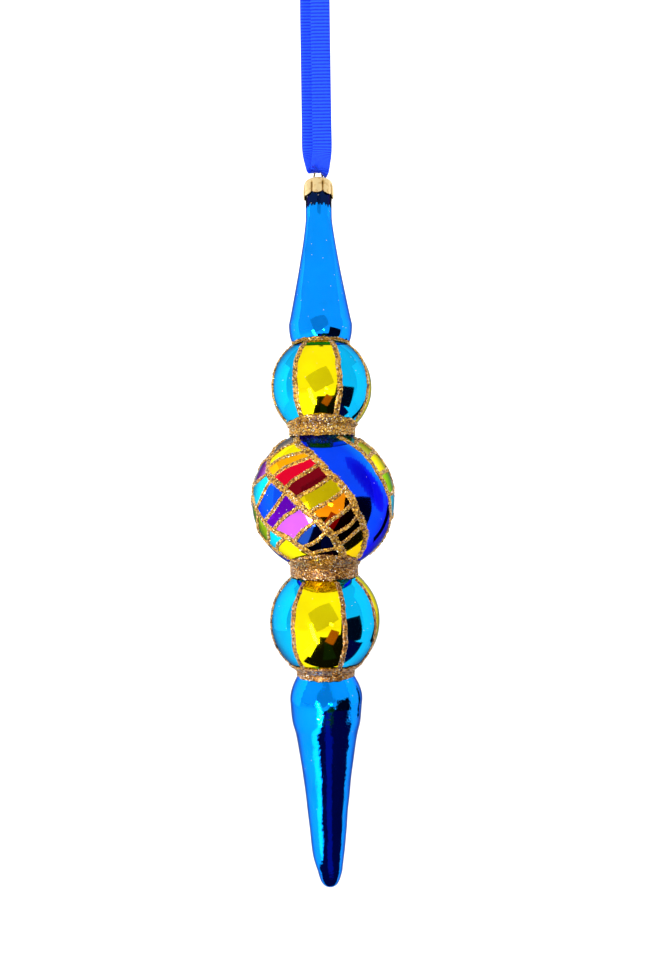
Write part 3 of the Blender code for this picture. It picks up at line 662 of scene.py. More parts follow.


# %% [markdown]
# ## Colours of the fields
# Each field gets its lacquer as a colour stored on the mesh, face by face; on the cobalt stripe the stored
# colour also holds painted reflections. The borders lie under the glitter, so they are crisp and need no
# texture. The list below runs down each band from the top.

# %% The lacquers
AZURE = "#0092FF"
NAVY = "#021A46"                     # the bare neck, where the lacquer is doubled and the silver stops
YELLOW = "#FFEC00"
TURQUOISE = "#00B4EC"
COBALT = "#0434F2"
BAND_COLOURS = [
    ["#E4002B", "#FFB000", "#6400B4", "#00C8F0", "#FFE400", "#FF7A00", "#0A50F0"],
    ["#FFE400", "#E4002B", "#00E0FF", "#FF7A00", "#A8C840", "#A8C840", "#00E0FF", "#FFF000"],
    ["#FFB000", "#E4002B", "#B070C0", "#00E0FF", "#0A50F0", "#6400B4", "#D060F0", "#10307A",
     "#06504F", "#40103A"],
    ["#A89C90", "#FFF000", "#FFB000", "#E4002B", "#7A0012", "#E8CE00", "#F08A00", "#B80010", "#3A0A08",
     "#F2CC00"],
    [COBALT],
    ["#5E8C8C", "#B8B850", "#FFF040", "#A8D840", "#50D8F0", "#FF7A00", "#6400B4"],
    ["#0A50F0", "#FFB000", "#E4002B", "#00E0FF", "#FFE400", "#D060F0", "#7A0012"],
    ["#00C8F0", "#FF7A00", "#FFE400", "#6400B4", "#E4002B", "#A8C840", "#0A50F0"],
    [COBALT],
]


def field_colour(x, y, z):
    """Hex colour of the lacquer at a point of the outside of the glass."""
    longitude = math.degrees(math.atan2(x, -y))
    if UPPER_NECK_TOP < z < TOP_GROOVE:
        return gore_colour(longitude, UPPER_MERIDIANS)
    if DRIP_GROOVE < z < LOWER_NECK_BOTTOM:
        return gore_colour(longitude, LOWER_MERIDIANS)
    if LOWER_NECK_TOP < z < UPPER_NECK_BOTTOM:
        latitude = math.degrees(math.asin(max(-1.0, min(1.0, (z - MIDDLE_BALL) / MIDDLE_BALL_RADIUS))))
        return swirl_colour(longitude, latitude)
    ragged = math.sin(11 * math.radians(longitude)) + math.sin(23 * math.radians(longitude) + 2)
    if z > RIM - (9.2 + 0.35 * ragged) * MM:
        return NAVY
    return AZURE


def gore_colour(longitude, meridians):
    """Yellow and turquoise by turns; the field that faces the front is yellow."""
    turned = (longitude - meridians[1]) % 360
    field = sum(turned >= (m - meridians[1]) % 360 for m in meridians) - 1
    return YELLOW if field % 2 == 0 else TURQUOISE


def swirl_colour(longitude, latitude):
    """Colour of the field of the middle ball that a point lies in."""
    edges = [float(line(latitude)) for line in SWIRL_LINES]
    turned = edges[0] + (longitude - edges[0]) % 360
    band = max(k for k in range(9) if turned >= edges[k])
    place = direction(longitude, latitude)
    above = sum(place.dot(pole) < 0 for _, _, pole in DIVIDERS[band])
    colours = BAND_COLOURS[band]
    if colours == [COBALT]:
        # the cobalt stripe takes painted reflections
        return cobalt_painted_reflection((turned - edges[band]) / (edges[band + 1] - edges[band]), latitude)
    return colours[min(above, len(colours) - 1)]


def cobalt_painted_reflection(share, latitude):
    """The long plain stripe, with painted reflections: lighter towards its upper edge and darker in an oval
    in its middle.
    """
    # painted reflection: a lighter patch towards the upper edge of the stripe
    thin = min(1.0, max(0.0, (share - 0.60) / 0.30)) * min(1.0, max(0.0, (latitude + 8) / 30))
    # painted reflection: a darker oval in the middle of the stripe
    pool = max(0.0, 1 - ((share - 0.58) / 0.23) ** 2 - ((latitude - 13) / 22) ** 2) ** 0.35
    thin = round(max(0.22, thin) * (1 - pool) * 10) / 10
    pool = round(pool * 10) / 10
    red = 4 * (1 - pool)
    green = 52 + 74 * thin - 52 * pool
    blue = 242 + 13 * thin - 38 * pool
    return "#%02X%02X%02X" % (round(red), round(green), round(blue))


def paint_glass(thing):
    """Stores each face's lacquer on its corners; on the cobalt stripe it holds painted reflections too."""
    mesh = thing.data
    stored = mesh.color_attributes.new("lacquer", "FLOAT_COLOR", "CORNER")
    known = {}
    values = np.zeros((len(mesh.loops), 4), np.float32)
    for face in mesh.polygons:
        code = field_colour(*face.center)
        if code not in known:
            known[code] = colour(code)
        values[face.loop_start:face.loop_start + face.loop_total] = known[code]
    stored.data.foreach_set("color", values.ravel())
    print("lacquers on the glass:", len(known))


paint_glass(glass)

# %% [markdown]
# ## Hand-blown waviness
# A mirror shows every ripple. Blown glass is never true: the balls are off round by a few hundredths of a
# millimetre, and the icicle, drawn by hand, ripples more. Low waves moved into the mesh bend the
# reflections as the real ones bend.

# %% Ripples
def ripple(points):
    """A smooth field of height, from -1 to 1, that has no visible repeat over the ornament."""
    x, y, z = (points[:, k] / MM for k in range(3))
    waves = (np.sin(0.31 * x + 0.17 * y + 0.42 * z) + np.sin(0.23 * y - 0.37 * x + 0.29 * z + 1.3)
             + np.sin(0.53 * z + 0.11 * x - 0.47 * y + 2.1)
             + np.sin(0.71 * x + 0.61 * z + 0.35 * y + 4.2) * 0.5)
    return waves / 3.5


points = read_points(glass.data)
radii = np.hypot(points[:, 0], points[:, 1])
spread = np.where(points[:, 2] < DRIP_GROOVE, 0.085, 0.045) * MM
spread = np.where(points[:, 2] > TOP_GROOVE, 0.03 * MM, spread)
shift = ripple(points) * spread * np.clip(radii / (3 * MM), 0, 1)
points[:, 0] += shift * points[:, 0] / np.maximum(radii, 1e-6)
points[:, 1] += shift * points[:, 1] / np.maximum(radii, 1e-6)
# the tip was pulled off slightly to one side
points[:, 0] += 0.45 * MM * np.clip((TIP + 13 * MM - points[:, 2]) / (7 * MM), 0, 1) ** 2
write_points(glass.data, points)

# %% [markdown]
# ## Lacquered mirror
# Silver lies on the inside of the glass and transparent lacquer on the outside. Light passes the lacquer
# twice, so the mirror takes the lacquer's colour, and the glass adds a clear, colourless gloss on top.
# A metal with the lacquer's colour and a full clear coat looks the same and renders quickly. The lacquer
# pools and thins a little, and dust of glitter sticks in it, so its colour and gloss are never quite even.

# %% The lacquer material
def lacquered_mirror(name):
    made, tree, shader = new_material(name, Metallic=1.0, Specular_Tint=colour("#66707E"), Coat_Weight=0.06,
                                      Coat_Roughness=0.03, Coat_IOR=1.5)
    place = add_node(tree, "ShaderNodeTexCoord").outputs["Object"]
    stored = add_node(tree, "ShaderNodeVertexColor", layer_name="lacquer").outputs["Color"]
    pool = add_node(tree, "ShaderNodeTexNoise", {"Vector": place}, i_Scale=1 / (9 * MM), i_Detail=3.0)
    thin = add_node(tree, "ShaderNodeMapRange", {"Value": pool.outputs["Fac"]}, i_From_Min=0.3,
                    i_From_Max=0.7, i_To_Min=0.92, i_To_Max=1.05)
    shaded = add_node(tree, "ShaderNodeMix", {6: stored}, data_type="RGBA", blend_type="MULTIPLY", i_0=1.0)
    grey = add_node(tree, "ShaderNodeCombineColor",
                    {"Red": thin.outputs[0], "Green": thin.outputs[0], "Blue": thin.outputs[0]})
    tree.links.new(grey.outputs[0], shaded.inputs[7])
    # specks of glitter dust, 0.2 mm across and about 3 mm apart
    dust = add_node(tree, "ShaderNodeTexVoronoi", {"Vector": place}, i_Scale=1 / (1.3 * MM), i_Randomness=1.0)
    speck = add_node(tree, "ShaderNodeMapRange", {"Value": dust.outputs["Distance"]}, i_From_Min=0.08,
                     i_From_Max=0.11, i_To_Min=1.0, i_To_Max=0.0)
    chance = add_node(tree, "ShaderNodeSeparateColor", {"Color": dust.outputs["Color"]})
    rare = add_node(tree, "ShaderNodeMath", {0: chance.outputs[0]}, operation="GREATER_THAN", i_1=0.8)
    shown = add_node(tree, "ShaderNodeMath", {0: speck.outputs[0], 1: rare.outputs[0]}, operation="MULTIPLY")
    dusted = add_node(tree, "ShaderNodeMix", {0: shown.outputs[0], 6: shaded.outputs[2]}, data_type="RGBA")
    dusted.inputs[7].default_value = colour("#F2E6C8")
    tree.links.new(dusted.outputs[2], shader.inputs["Base Color"])
    gloss = add_node(tree, "ShaderNodeMapRange", {"Value": pool.outputs["Fac"]}, i_From_Min=0.3,
                     i_From_Max=0.7, i_To_Min=0.03, i_To_Max=0.09)
    tree.links.new(gloss.outputs[0], shader.inputs["Roughness"])
    # sprayed lacquer has an orange peel, 1.5 mm across; it is rougher on the icicle
    peel = add_node(tree, "ShaderNodeTexNoise", {"Vector": place}, i_Scale=1 / (1.5 * MM), i_Detail=3.0)
    level = add_node(tree, "ShaderNodeSeparateXYZ", {"Vector": place})
    rough = add_node(tree, "ShaderNodeMapRange", {"Value": level.outputs["Z"]},
                     i_From_Min=DRIP_GROOVE - 4 * MM, i_From_Max=DRIP_GROOVE, i_To_Min=1.0, i_To_Max=0.06)
    bump = add_node(tree, "ShaderNodeBump", {"Height": peel.outputs["Fac"], "Strength": rough.outputs[0]},
                    i_Distance=0.09 * MM)
    tree.links.new(bump.outputs[0], shader.inputs["Normal"])
    return made


lacquer = lacquered_mirror("silvered_blown_glass_under_lacquer")
finish_piece(glass, "blown_glass_body", "glass", ["glass_body"], lacquer)

# %% [markdown]
# ## Glitter
# Glitter glue is piped on as a round bead that sinks against the glass, then dusted with tiny metallised
# film flakes that lie at every angle. The eye sees grains, each one light or dark by how it is
# tilted, so the flakes are real shapes here: thin four-sided chips, set on a bumpy bead of glue.
# Real flakes are about 0.2 mm; these are about 0.5 mm, as coarse as they need to be to show.

# %% Flakes
FLAKE_RADIUS = 0.24 * MM
FLAKE_THICKNESS = 0.05 * MM
FLAKES_PER_MM2 = 6.5


def grain_material(name, stops, metallic):
    """Metallised film in glue: each flake's own number, stored on it, picks its colour."""
    made, tree, shader = new_material(name, Metallic=metallic, Coat_Weight=0.25, Coat_Roughness=0.1)
    grain = add_node(tree, "ShaderNodeAttribute", attribute_name="grain").outputs["Fac"]
    tree.links.new(ramp(tree, grain, stops), shader.inputs["Base Color"])
    gloss = add_node(tree, "ShaderNodeMapRange", {"Value": grain}, i_To_Min=0.42, i_To_Max=0.2)
    tree.links.new(gloss.outputs[0], shader.inputs["Roughness"])
    return made


gold_glitter = grain_material("gold_glitter_in_clear_glue", (
    (0.0, "#4A2A04"), (0.20, "#80500E"), (0.28, "#CC9024"), (0.60, "#EEB83C"), (0.78, "#F8D468"),
    (0.92, "#FFF4BC"), (1.0, "#FFFFFF")), 0.6)
copper_glitter = grain_material("copper_glitter_in_clear_glue", (
    (0.0, "#341604"), (0.22, "#6C3C0C"), (0.30, "#B27424"), (0.62, "#DCA044"), (0.80, "#F0C880"),
    (0.93, "#FFF0D0"), (1.0, "#FFFFFF")), 0.6)


def flakes_on(base, seed, outside_test):
    """Points and faces of chips strewn over the part of a mesh for which outside_test is true."""
    rng = np.random.default_rng(seed)
    mesh = base.data
    mesh.calc_loop_triangles()
    corners = np.zeros(len(mesh.loop_triangles) * 3, np.int32)
    mesh.loop_triangles.foreach_get("vertices", corners)
    corners = corners.reshape(-1, 3)
    points = read_points(mesh)
    a, b, c = (points[corners[:, k]] for k in range(3))
    normals = np.cross(b - a, c - a)
    sizes = np.linalg.norm(normals, axis=1) / 2
    normals /= np.maximum(2 * sizes[:, None], 1e-12)
    shown = outside_test((a + b + c) / 3)
    sizes = np.where(shown, sizes, 0.0)
    count = int(sizes.sum() / MM ** 2 * FLAKES_PER_MM2)
    chosen = rng.choice(len(sizes), count, p=sizes / sizes.sum())
    u, v = rng.random((2, count, 1))
    over = u + v > 1
    u, v = np.where(over, 1 - u, u), np.where(over, 1 - v, v)
    places = a[chosen] + (b - a)[chosen] * u + (c - a)[chosen] * v
    tilt = normals[chosen] + rng.normal(0, 0.42, (count, 3))
    tilt /= np.linalg.norm(tilt, axis=1)[:, None]
    side = np.cross(tilt, rng.normal(0, 1, (count, 3)))
    side /= np.linalg.norm(side, axis=1)[:, None]
    other = np.cross(tilt, side)
    size = FLAKE_RADIUS * rng.uniform(0.7, 1.25, (count, 1))
    centre = places + normals[chosen] * 0.04 * MM
    rise = tilt * FLAKE_THICKNESS / 2
    chips = np.stack([centre + side * size, centre + other * size, centre - side * size,
                      centre - other * size, centre + rise, centre - rise], axis=1)
    pattern = np.array([(0, 1, 4), (1, 2, 4), (2, 3, 4), (3, 0, 4),
                        (1, 0, 5), (2, 1, 5), (3, 2, 5), (0, 3, 5)])
    faces = (pattern[None] + np.arange(count)[:, None, None] * 6).reshape(-1, 3)
    return chips.reshape(-1, 3), faces, np.repeat(rng.random(count), 6)


def dress_with_glitter(base, name, nodes, finish, seed, outside_test):
    """Roughens a glue bead, strews it with flakes and closes it as one piece."""
    mesh = base.data
    points = read_points(mesh)
    rng = np.random.default_rng(seed + 5000)
    points += rng.normal(0, 0.035 * MM, points.shape)
    write_points(mesh, points)
    chips, faces, grains = flakes_on(base, seed, outside_test)
    strewn = object_from(name + "_flakes", chips, faces)
    stored = strewn.data.attributes.new("grain", "FLOAT", "POINT")
    stored.data.foreach_set("value", grains.astype(np.float32))
    glue = mesh.attributes.new("grain", "FLOAT", "POINT")
    glue.data.foreach_set("value", (rng.random(len(points)) * 0.45).astype(np.float32))
    only(base)
    strewn.select_set(True)
    bpy.ops.object.join()
    return finish_piece(base, name, "glass", nodes, finish)


# %% [markdown]
# ### Beads on the balls
# A bead is a curve on the ball with a round section, sunk a little so that it meets the glass in a shallow
# slope. The section is made by the curve's own bevel and then turned into a mesh.

# %% Piped beads
def piped_bead(paths, width, height):
    """A mesh of round beads through lists of (centre height, ball radius, unit direction) points.

    The bead's round section is as wide as `width` where it meets the glass and stands `height` proud.
    """
    radius = (width ** 2 / 4 + height ** 2) / (2 * height)
    curve = bpy.data.curves.new("glue", "CURVE")
    curve.dimensions = "3D"
    curve.bevel_depth = radius
    curve.bevel_resolution = 3
    curve.use_fill_caps = True
    for path in paths:
        spline = curve.splines.new("POLY")
        spline.points.add(len(path) - 1)
        for slot, (level, ball, unit) in zip(spline.points, path):
            place = Vector((0, 0, level)) + unit * (ball - radius + height)
            slot.co = (*place, 1.0)
    made = bpy.data.objects.new("glue", curve)
    scene.collection.objects.link(made)
    only(made)
    bpy.ops.object.convert(target="MESH")
    return bpy.context.object


def off_the_ball(level, radius):
    """True for points that stand clear of a ball, so that no flake is strewn inside the glass."""
    return lambda points: np.linalg.norm(points - np.array([0, 0, level]), axis=1) > radius - 0.03 * MM


BEAD_HEIGHT = 0.33 * MM
DIVIDER_HEIGHT = 0.32 * MM


def lay_meridians(prefix, level, radius, longitudes, width, latitudes, finish, seed):
    """Eight beads from collar to collar. Each one wavers a little, as a hand-piped line does."""
    for number, longitude in enumerate(longitudes, 1):
        path = []
        for latitude in np.linspace(*latitudes, 60):
            waver = 0.5 * math.sin(latitude * 0.13 + number) + 0.3 * math.sin(latitude * 0.31 + 2 * number)
            path.append((level, radius, direction(longitude + waver, latitude)))
        bead = piped_bead([path], width, BEAD_HEIGHT)
        dress_with_glitter(bead, f"{prefix}_{number}_glitter_line", [f"{prefix}_{number}"], finish,
                           seed + number, off_the_ball(level, radius))


def node_latitudes(node, level, radius, slack):
    """The latitudes that a mechanical node spans on its ball, with a little more at both ends."""
    low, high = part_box(node)
    top = math.degrees(math.asin((high.z - level) / (radius + 0.8 * MM)))
    bottom = math.degrees(math.asin((low.z - level) / (radius + 0.8 * MM)))
    return top + slack, bottom - slack


lay_meridians("glitter_upper", UPPER_BALL, UPPER_BALL_RADIUS, UPPER_MERIDIANS, 2.1 * MM,
              node_latitudes("glitter_upper_1", UPPER_BALL, UPPER_BALL_RADIUS, 3.0), gold_glitter, 100)
lay_meridians("glitter_lower", LOWER_BALL, LOWER_BALL_RADIUS, LOWER_MERIDIANS, 1.8 * MM,
              node_latitudes("glitter_lower_1", LOWER_BALL, LOWER_BALL_RADIUS, 3.5), copper_glitter, 200)

# %% [markdown]
# ### The net on the middle ball
# Swirl lines are thick, and dividers thin. A divider starts and ends inside its swirl lines.

# %% Swirl lines and dividers
def swirl_path(line, latitudes):
    """A swirl line's points, with a slow hand's waver."""
    path = []
    for latitude in np.linspace(*latitudes, 110):
        waver = 0.5 * math.sin(latitude * 0.21) + 0.4 * math.sin(latitude * 0.47 + 1)
        path.append((MIDDLE_BALL, MIDDLE_BALL_RADIUS, direction(float(line(latitude)) + waver, latitude)))
    return path


def divider_path(left, right, pole):
    """A divider's points, along a great circle with a slight S, as a hand pulls it."""
    path = []
    for share in np.linspace(0, 1, 34):
        place = left.slerp(right, share) + pole * (0.012 * math.sin(2 * math.pi * share + 40 * left.z))
        path.append((MIDDLE_BALL, MIDDLE_BALL_RADIUS, place.normalized()))
    return path


def lay_net(node, lines, bands, seed):
    latitudes = node_latitudes(node, MIDDLE_BALL, MIDDLE_BALL_RADIUS, 1.0)
    thick = piped_bead([swirl_path(SWIRL_LINES[k], latitudes) for k in lines], 2.4 * MM, BEAD_HEIGHT)
    thin = piped_bead([divider_path(*ends) for k in bands for ends in DIVIDERS[k]], 1.4 * MM,
                      DIVIDER_HEIGHT)
    only(thick)
    thin.select_set(True)
    bpy.ops.object.join()
    dress_with_glitter(thick, node + "_beads", [node], gold_glitter, seed,
                       off_the_ball(MIDDLE_BALL, MIDDLE_BALL_RADIUS))


lay_net("glitter_net_front", (0, 1, 2, 3, 4), (0, 1, 2, 3), 300)
lay_net("glitter_net_back", (5, 6, 7, 8), (5, 6, 7), 400)

# %% [markdown]
# ### Collars and rings
# Between the balls the glue is brushed on all round. Each collar follows the glass at a distance, the way a
# small ball would roll over it, so it fills the groove softly. Its edges are uneven.

# %% Collars
def swept_radius(outline, height, distance):
    """Radius at a height of the outline's outside moved out by a distance, as a ball rolls round it."""
    gap = np.abs(height - outline[:, 1])
    near = gap < distance
    if not near.any():
        return 0.0
    return float((outline[near, 0] + np.sqrt(distance ** 2 - gap[near] ** 2)).max())


def fine_outline():
    """The glass's outline at a spacing of 0.05 mm, for fitting collars."""
    rough = glass_outline(110)
    fine = []
    for a, b in zip(rough, rough[1:]):
        count = max(1, math.ceil(math.dist(a, b) / (0.05 * MM)))
        fine += [(a[0] + (b[0] - a[0]) * k / count, a[1] + (b[1] - a[1]) * k / count) for k in range(count)]
    return np.array(fine)


GLASS_SIDE = fine_outline()


def reaches(levels, distance):
    return np.array([swept_radius(GLASS_SIDE, level, distance) for level in levels])


def lay_collar(node, finish, seed, height=0.55 * MM, fill=0.0, trim=(0.0, 0.0), sway=(0.0, 0.0)):
    """A collar round the glass between a node's top and bottom.

    `fill` is the radius that the groove is filled to, `trim` is taken off the top and bottom edges, and
    `sway` is how far those edges are higher in front and behind than at the sides.
    """
    low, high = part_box(node)
    levels = np.linspace(high.z - trim[0], low.z + trim[1], 26)
    outer = []
    for k, level in enumerate(levels):
        edge = min(k, len(levels) - 1 - k)
        swell = height * (0.3 + 0.7 * min(1.0, edge / 3))
        outer.append((max(swept_radius(GLASS_SIDE, level, swell), fill), level))
    inner = [(swept_radius(GLASS_SIDE, level, 0.1 * MM), level) for level in levels[::3]]
    collar = spun_outline(outer + inner[::-1], 150)
    points = read_points(collar.data)
    turn = np.arctan2(points[:, 1], points[:, 0])
    share = (points[:, 2] - levels[-1]) / (levels[0] - levels[-1])
    radii = np.hypot(points[:, 0], points[:, 1])
    outside = radii > reaches(points[:, 2], 0.11 * MM)
    points[:, 2] -= (share * sway[0] + (1 - share) * sway[1]) * np.cos(2 * turn) / 2
    points[:, 2] += 0.10 * MM * (np.sin(9 * turn + seed) + np.sin(17 * turn + 2 * seed))
    swell = height * (0.3 + 0.7 * np.clip(np.minimum(share, 1 - share) * 25 / 3, 0, 1))
    crest = np.array([swept_radius(GLASS_SIDE, z, far) for z, far in zip(points[:, 2], swell)])
    crest = np.maximum(crest, fill)
    fitted = np.where(outside, crest, reaches(points[:, 2], 0.1 * MM)) / radii
    points[:, 0] *= fitted
    points[:, 1] *= fitted
    write_points(collar.data, points)

    def faces_out(where):
        return np.hypot(where[:, 0], where[:, 1]) > reaches(where[:, 2], 0.12 * MM)

    dress_with_glitter(collar, node + "_band", [node], finish, seed, faces_out)


lay_collar("glitter_ring_top", gold_glitter, 500, height=0.36 * MM, trim=(0.3 * MM, 0.2 * MM))
lay_collar("glitter_collar_upper", gold_glitter, 510, fill=11.8 * MM, trim=(0.0, 0.4 * MM),
           sway=(2.0 * MM, -0.6 * MM))
lay_collar("glitter_collar_lower", copper_glitter, 520, fill=12.1 * MM, trim=(0.0, 0.8 * MM),
           sway=(5.2 * MM, 0.0))
lay_collar("glitter_ring_bottom", copper_glitter, 530, fill=10.3 * MM, sway=(1.0 * MM, 0.4 * MM))

# %% [markdown]
# ## The crown cap
# The cap is drawn from thin gilt sheet. A die rounds its shoulder, cuts eight scallops round the skirt and
# embosses a dome in each. An outline spun round the axis gives the drawn cup, and its rows of points are then
# pulled down into scallops, pinched along the creases and raised into domes.

# %% Cap shape
CAP_RADIUS = 5.15 * MM
CAP_METAL = 0.3 * MM
CAP_NOTCH = 4.6 * MM
CAP_DEPTH = 5.9 * MM
CAP_SHOULDER = 1.3 * MM
CAP_PETALS = 8
CAP_TURN = -5
WIRE_HOLE = 0.95 * MM
LEG_SPREAD = 1.9 * MM


def petal_place(turn):
    """Where a point lies on its petal: -1 at one crease, 0 in the middle, 1 at the next crease."""
    pitch = 360 / CAP_PETALS
    return (np.degrees(turn) + 90 - CAP_TURN + pitch / 2) % pitch / pitch * 2 - 1


def cap_rows():
    """The cap's outline from the middle of the top, down the skirt and back inside; heights from the top."""
    rows = [(0.0, 0.0), (1.2 * MM, 0.0), (2.6 * MM, 0.0), (3.3 * MM, 0.0)]
    for k in range(1, 8):
        turn = math.radians(90 * k / 7)
        rows.append((CAP_RADIUS - CAP_SHOULDER * (1 - math.sin(turn)), -CAP_SHOULDER * (1 - math.cos(turn))))
    rows += [(CAP_RADIUS, -CAP_SHOULDER - (CAP_DEPTH - CAP_SHOULDER) * k / 26) for k in range(1, 27)]
    inner = [(max(r - CAP_METAL, 0.0), min(z, -CAP_METAL)) for r, z in rows]
    return rows + inner[::-1]


cap_outline = [(r, CAP_TOP + z) for r, z in cap_rows()]
cap = spun_outline(cap_outline, 192)
points = read_points(cap.data)
radii = np.hypot(points[:, 0], points[:, 1])
turn = np.arctan2(points[:, 1], points[:, 0])
place = petal_place(turn)
depth = CAP_TOP - points[:, 2]
scallop = CAP_NOTCH + (CAP_DEPTH - CAP_NOTCH) * np.sqrt(np.clip(1 - place ** 2, 0, 1))
below = np.clip((depth - CAP_SHOULDER) / (CAP_DEPTH - CAP_SHOULDER), 0, 1)
points[:, 2] = np.where(depth > CAP_SHOULDER, CAP_TOP - CAP_SHOULDER - below * (scallop - CAP_SHOULDER),
                        points[:, 2])
valley = np.exp(-((1 - np.abs(place)) / 0.16) ** 2) * np.clip(below * 4 + 0.15, 0, 1)
belly = (1 - place ** 2) * np.clip(below * 3, 0, 1) * 0.12 * MM
ring = np.sqrt((place / 0.62) ** 2 + ((below - 0.52) / 0.36) ** 2)
boss = (np.clip(1 - ring ** 2, 0, 1) ** 0.5 * 0.20 + np.exp(-((ring - 1.12) / 0.12) ** 2) * 0.09) * MM
flare = below ** 2 * 0.12 * MM
shift = belly + boss + flare - valley * 0.30 * MM
shift *= radii > CAP_RADIUS - 2 * CAP_METAL
points[:, 0] += shift * np.cos(turn)
points[:, 1] += shift * np.sin(turn)
write_points(cap.data, points)
# the crease mask, which the gilt also uses to paint shade into the creases
stored = cap.data.attributes.new("crease", "FLOAT", "POINT")
stored.data.foreach_set("value", (valley * (depth > 0.6 * MM)).astype(np.float32))
print("cap:", len(cap.data.polygons), "faces")

# %% Holes for the wire
for side in (-1, 1):
    deselect()
    bpy.ops.mesh.primitive_cylinder_add(vertices=40, radius=WIRE_HOLE, depth=3 * MM,
                                        location=(side * LEG_SPREAD, 0, CAP_TOP))
    punch = bpy.context.object
    only(cap)
    hole = cap.modifiers.new("wire_hole", "BOOLEAN")
    hole.operation = "DIFFERENCE"
    hole.object = punch
    bpy.ops.object.modifier_apply(modifier=hole.name)
    bpy.data.objects.remove(punch)
only(cap)
bpy.ops.object.shade_smooth_by_angle(angle=math.radians(38))

# %% [markdown]
# ### Gilt sheet
# The gilding is thin and pale. It is painted darker in its creases, a painted shade, and the rolled sheet
# has a fine grain.

# %% Gilt material
def gilt_sheet(name):
    made, tree, shader = new_material(name, Metallic=1.0, Coat_Weight=0.2, Coat_Roughness=0.15)
    place = add_node(tree, "ShaderNodeTexCoord").outputs["Object"]
    tarnish = add_node(tree, "ShaderNodeTexNoise", {"Vector": place}, i_Scale=1 / (1.8 * MM), i_Detail=5.0)
    crease = add_node(tree, "ShaderNodeAttribute", attribute_name="crease").outputs["Fac"]
    # painted shade: the gilt is made darker in the creases
    crease_painted_shade = add_node(tree, "ShaderNodeMath", {0: crease}, operation="MULTIPLY_ADD", i_1=-0.75, i_2=0.5)
    mixed = add_node(tree, "ShaderNodeMath", {0: tarnish.outputs["Fac"], 1: crease_painted_shade.outputs[0]},
                     operation="ADD")
    tree.links.new(ramp(tree, mixed.outputs[0], ((0.15, "#5A3E14"), (0.5, "#A67E38"), (0.85, "#D8B474"),
                                                 (0.98, "#ECD298"))), shader.inputs["Base Color"])
    gloss = add_node(tree, "ShaderNodeMapRange", {"Value": tarnish.outputs["Fac"]}, i_To_Min=0.34,
                     i_To_Max=0.52)
    tree.links.new(gloss.outputs[0], shader.inputs["Roughness"])
    grain = add_node(tree, "ShaderNodeTexNoise", {"Vector": place}, i_Scale=1 / (0.22 * MM), i_Detail=3.0)
    bump = add_node(tree, "ShaderNodeBump", {"Height": grain.outputs["Fac"]}, i_Strength=0.35,
                    i_Distance=0.02 * MM)
    tree.links.new(bump.outputs[0], shader.inputs["Normal"])
    return made


gilt = gilt_sheet("drawn_gilt_sheet")
finish_piece(cap, "scalloped_crown_cap", "cap", ["cap"], gilt)

# %% [markdown]
# ## The wire
# One piece of spring wire makes the eye and both legs. The legs pass through the cap and spring apart inside
# the neck, which holds the cap on.

# %% Hanger wire
WIRE_DIAMETER = 0.65 * MM
EYE_RADIUS = 1.15 * MM
EYE_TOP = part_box("hanger_wire")[1].z - WIRE_DIAMETER / 2
WIRE_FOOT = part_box("hanger_wire")[0].z
FOOT_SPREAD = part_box("hanger_wire")[1].x - WIRE_DIAMETER / 2


def wire_line():
    """The wire's centre line: up the right leg, over the eye and down the left leg."""
    knee = (LEG_SPREAD + (FOOT_SPREAD - LEG_SPREAD) * 0.8, WIRE_FOOT + 8 * MM)
    leg = smooth_through([(FOOT_SPREAD, WIRE_FOOT, 0), (*knee, 0), (LEG_SPREAD, CAP_TOP, 0)], 10)
    right = [Vector((p.x, 0, p.y)) for p in leg]
    arc = []
    for k in range(33):
        a = math.radians(-8 + 196 * k / 32)
        arc.append(Vector((EYE_RADIUS * math.cos(a), 0, EYE_TOP - EYE_RADIUS + EYE_RADIUS * math.sin(a))))
    return right + arc + [Vector((-p.x, 0, p.z)) for p in reversed(right)]


wire_curve = bpy.data.curves.new("wire", "CURVE")
wire_curve.dimensions = "3D"
wire_curve.bevel_depth = WIRE_DIAMETER / 2
wire_curve.bevel_resolution = 5
wire_curve.use_fill_caps = True
line = wire_line()
spline = wire_curve.splines.new("POLY")
spline.points.add(len(line) - 1)
for slot, place in zip(spline.points, line):
    slot.co = (*place, 1.0)
wire = bpy.data.objects.new("wire", wire_curve)
scene.collection.objects.link(wire)
only(wire)
bpy.ops.object.convert(target="MESH")
wire = bpy.context.object
bpy.ops.object.shade_smooth_by_angle(angle=math.radians(50))


def drawn_wire(name):
    """Drawn wire washed with brass: fine lines along it and a few dull patches."""
    made, tree, shader = new_material(name, Metallic=1.0)
    place = add_node(tree, "ShaderNodeTexCoord").outputs["Object"]
    lines = add_node(tree, "ShaderNodeMapping", {"Vector": place}, i_Scale=(1.0, 1.0, 0.08))
    draw = add_node(tree, "ShaderNodeTexNoise", {"Vector": lines.outputs[0]}, i_Scale=1 / (0.12 * MM),
                    i_Detail=2.0)
    tree.links.new(ramp(tree, draw.outputs["Fac"], ((0.25, "#8A6A30"), (0.6, "#C8A860"), (0.9, "#E6D09A"))),
                   shader.inputs["Base Color"])
    gloss = add_node(tree, "ShaderNodeMapRange", {"Value": draw.outputs["Fac"]}, i_To_Min=0.2, i_To_Max=0.42)
    tree.links.new(gloss.outputs[0], shader.inputs["Roughness"])
    return made


finish_piece(wire, "spring_wire_eye", "hanger", ["hanger_wire"], drawn_wire("drawn_spring_wire"))

# %% [markdown]
# ## Floor, backdrop and light
# Mirror glass shows its surroundings more than its own colour. It is surrounded by a large soft white, and a
# few darker cards stand where dull things in a room would be. The cards are left out of the camera's own
# view and are seen only in the reflections.

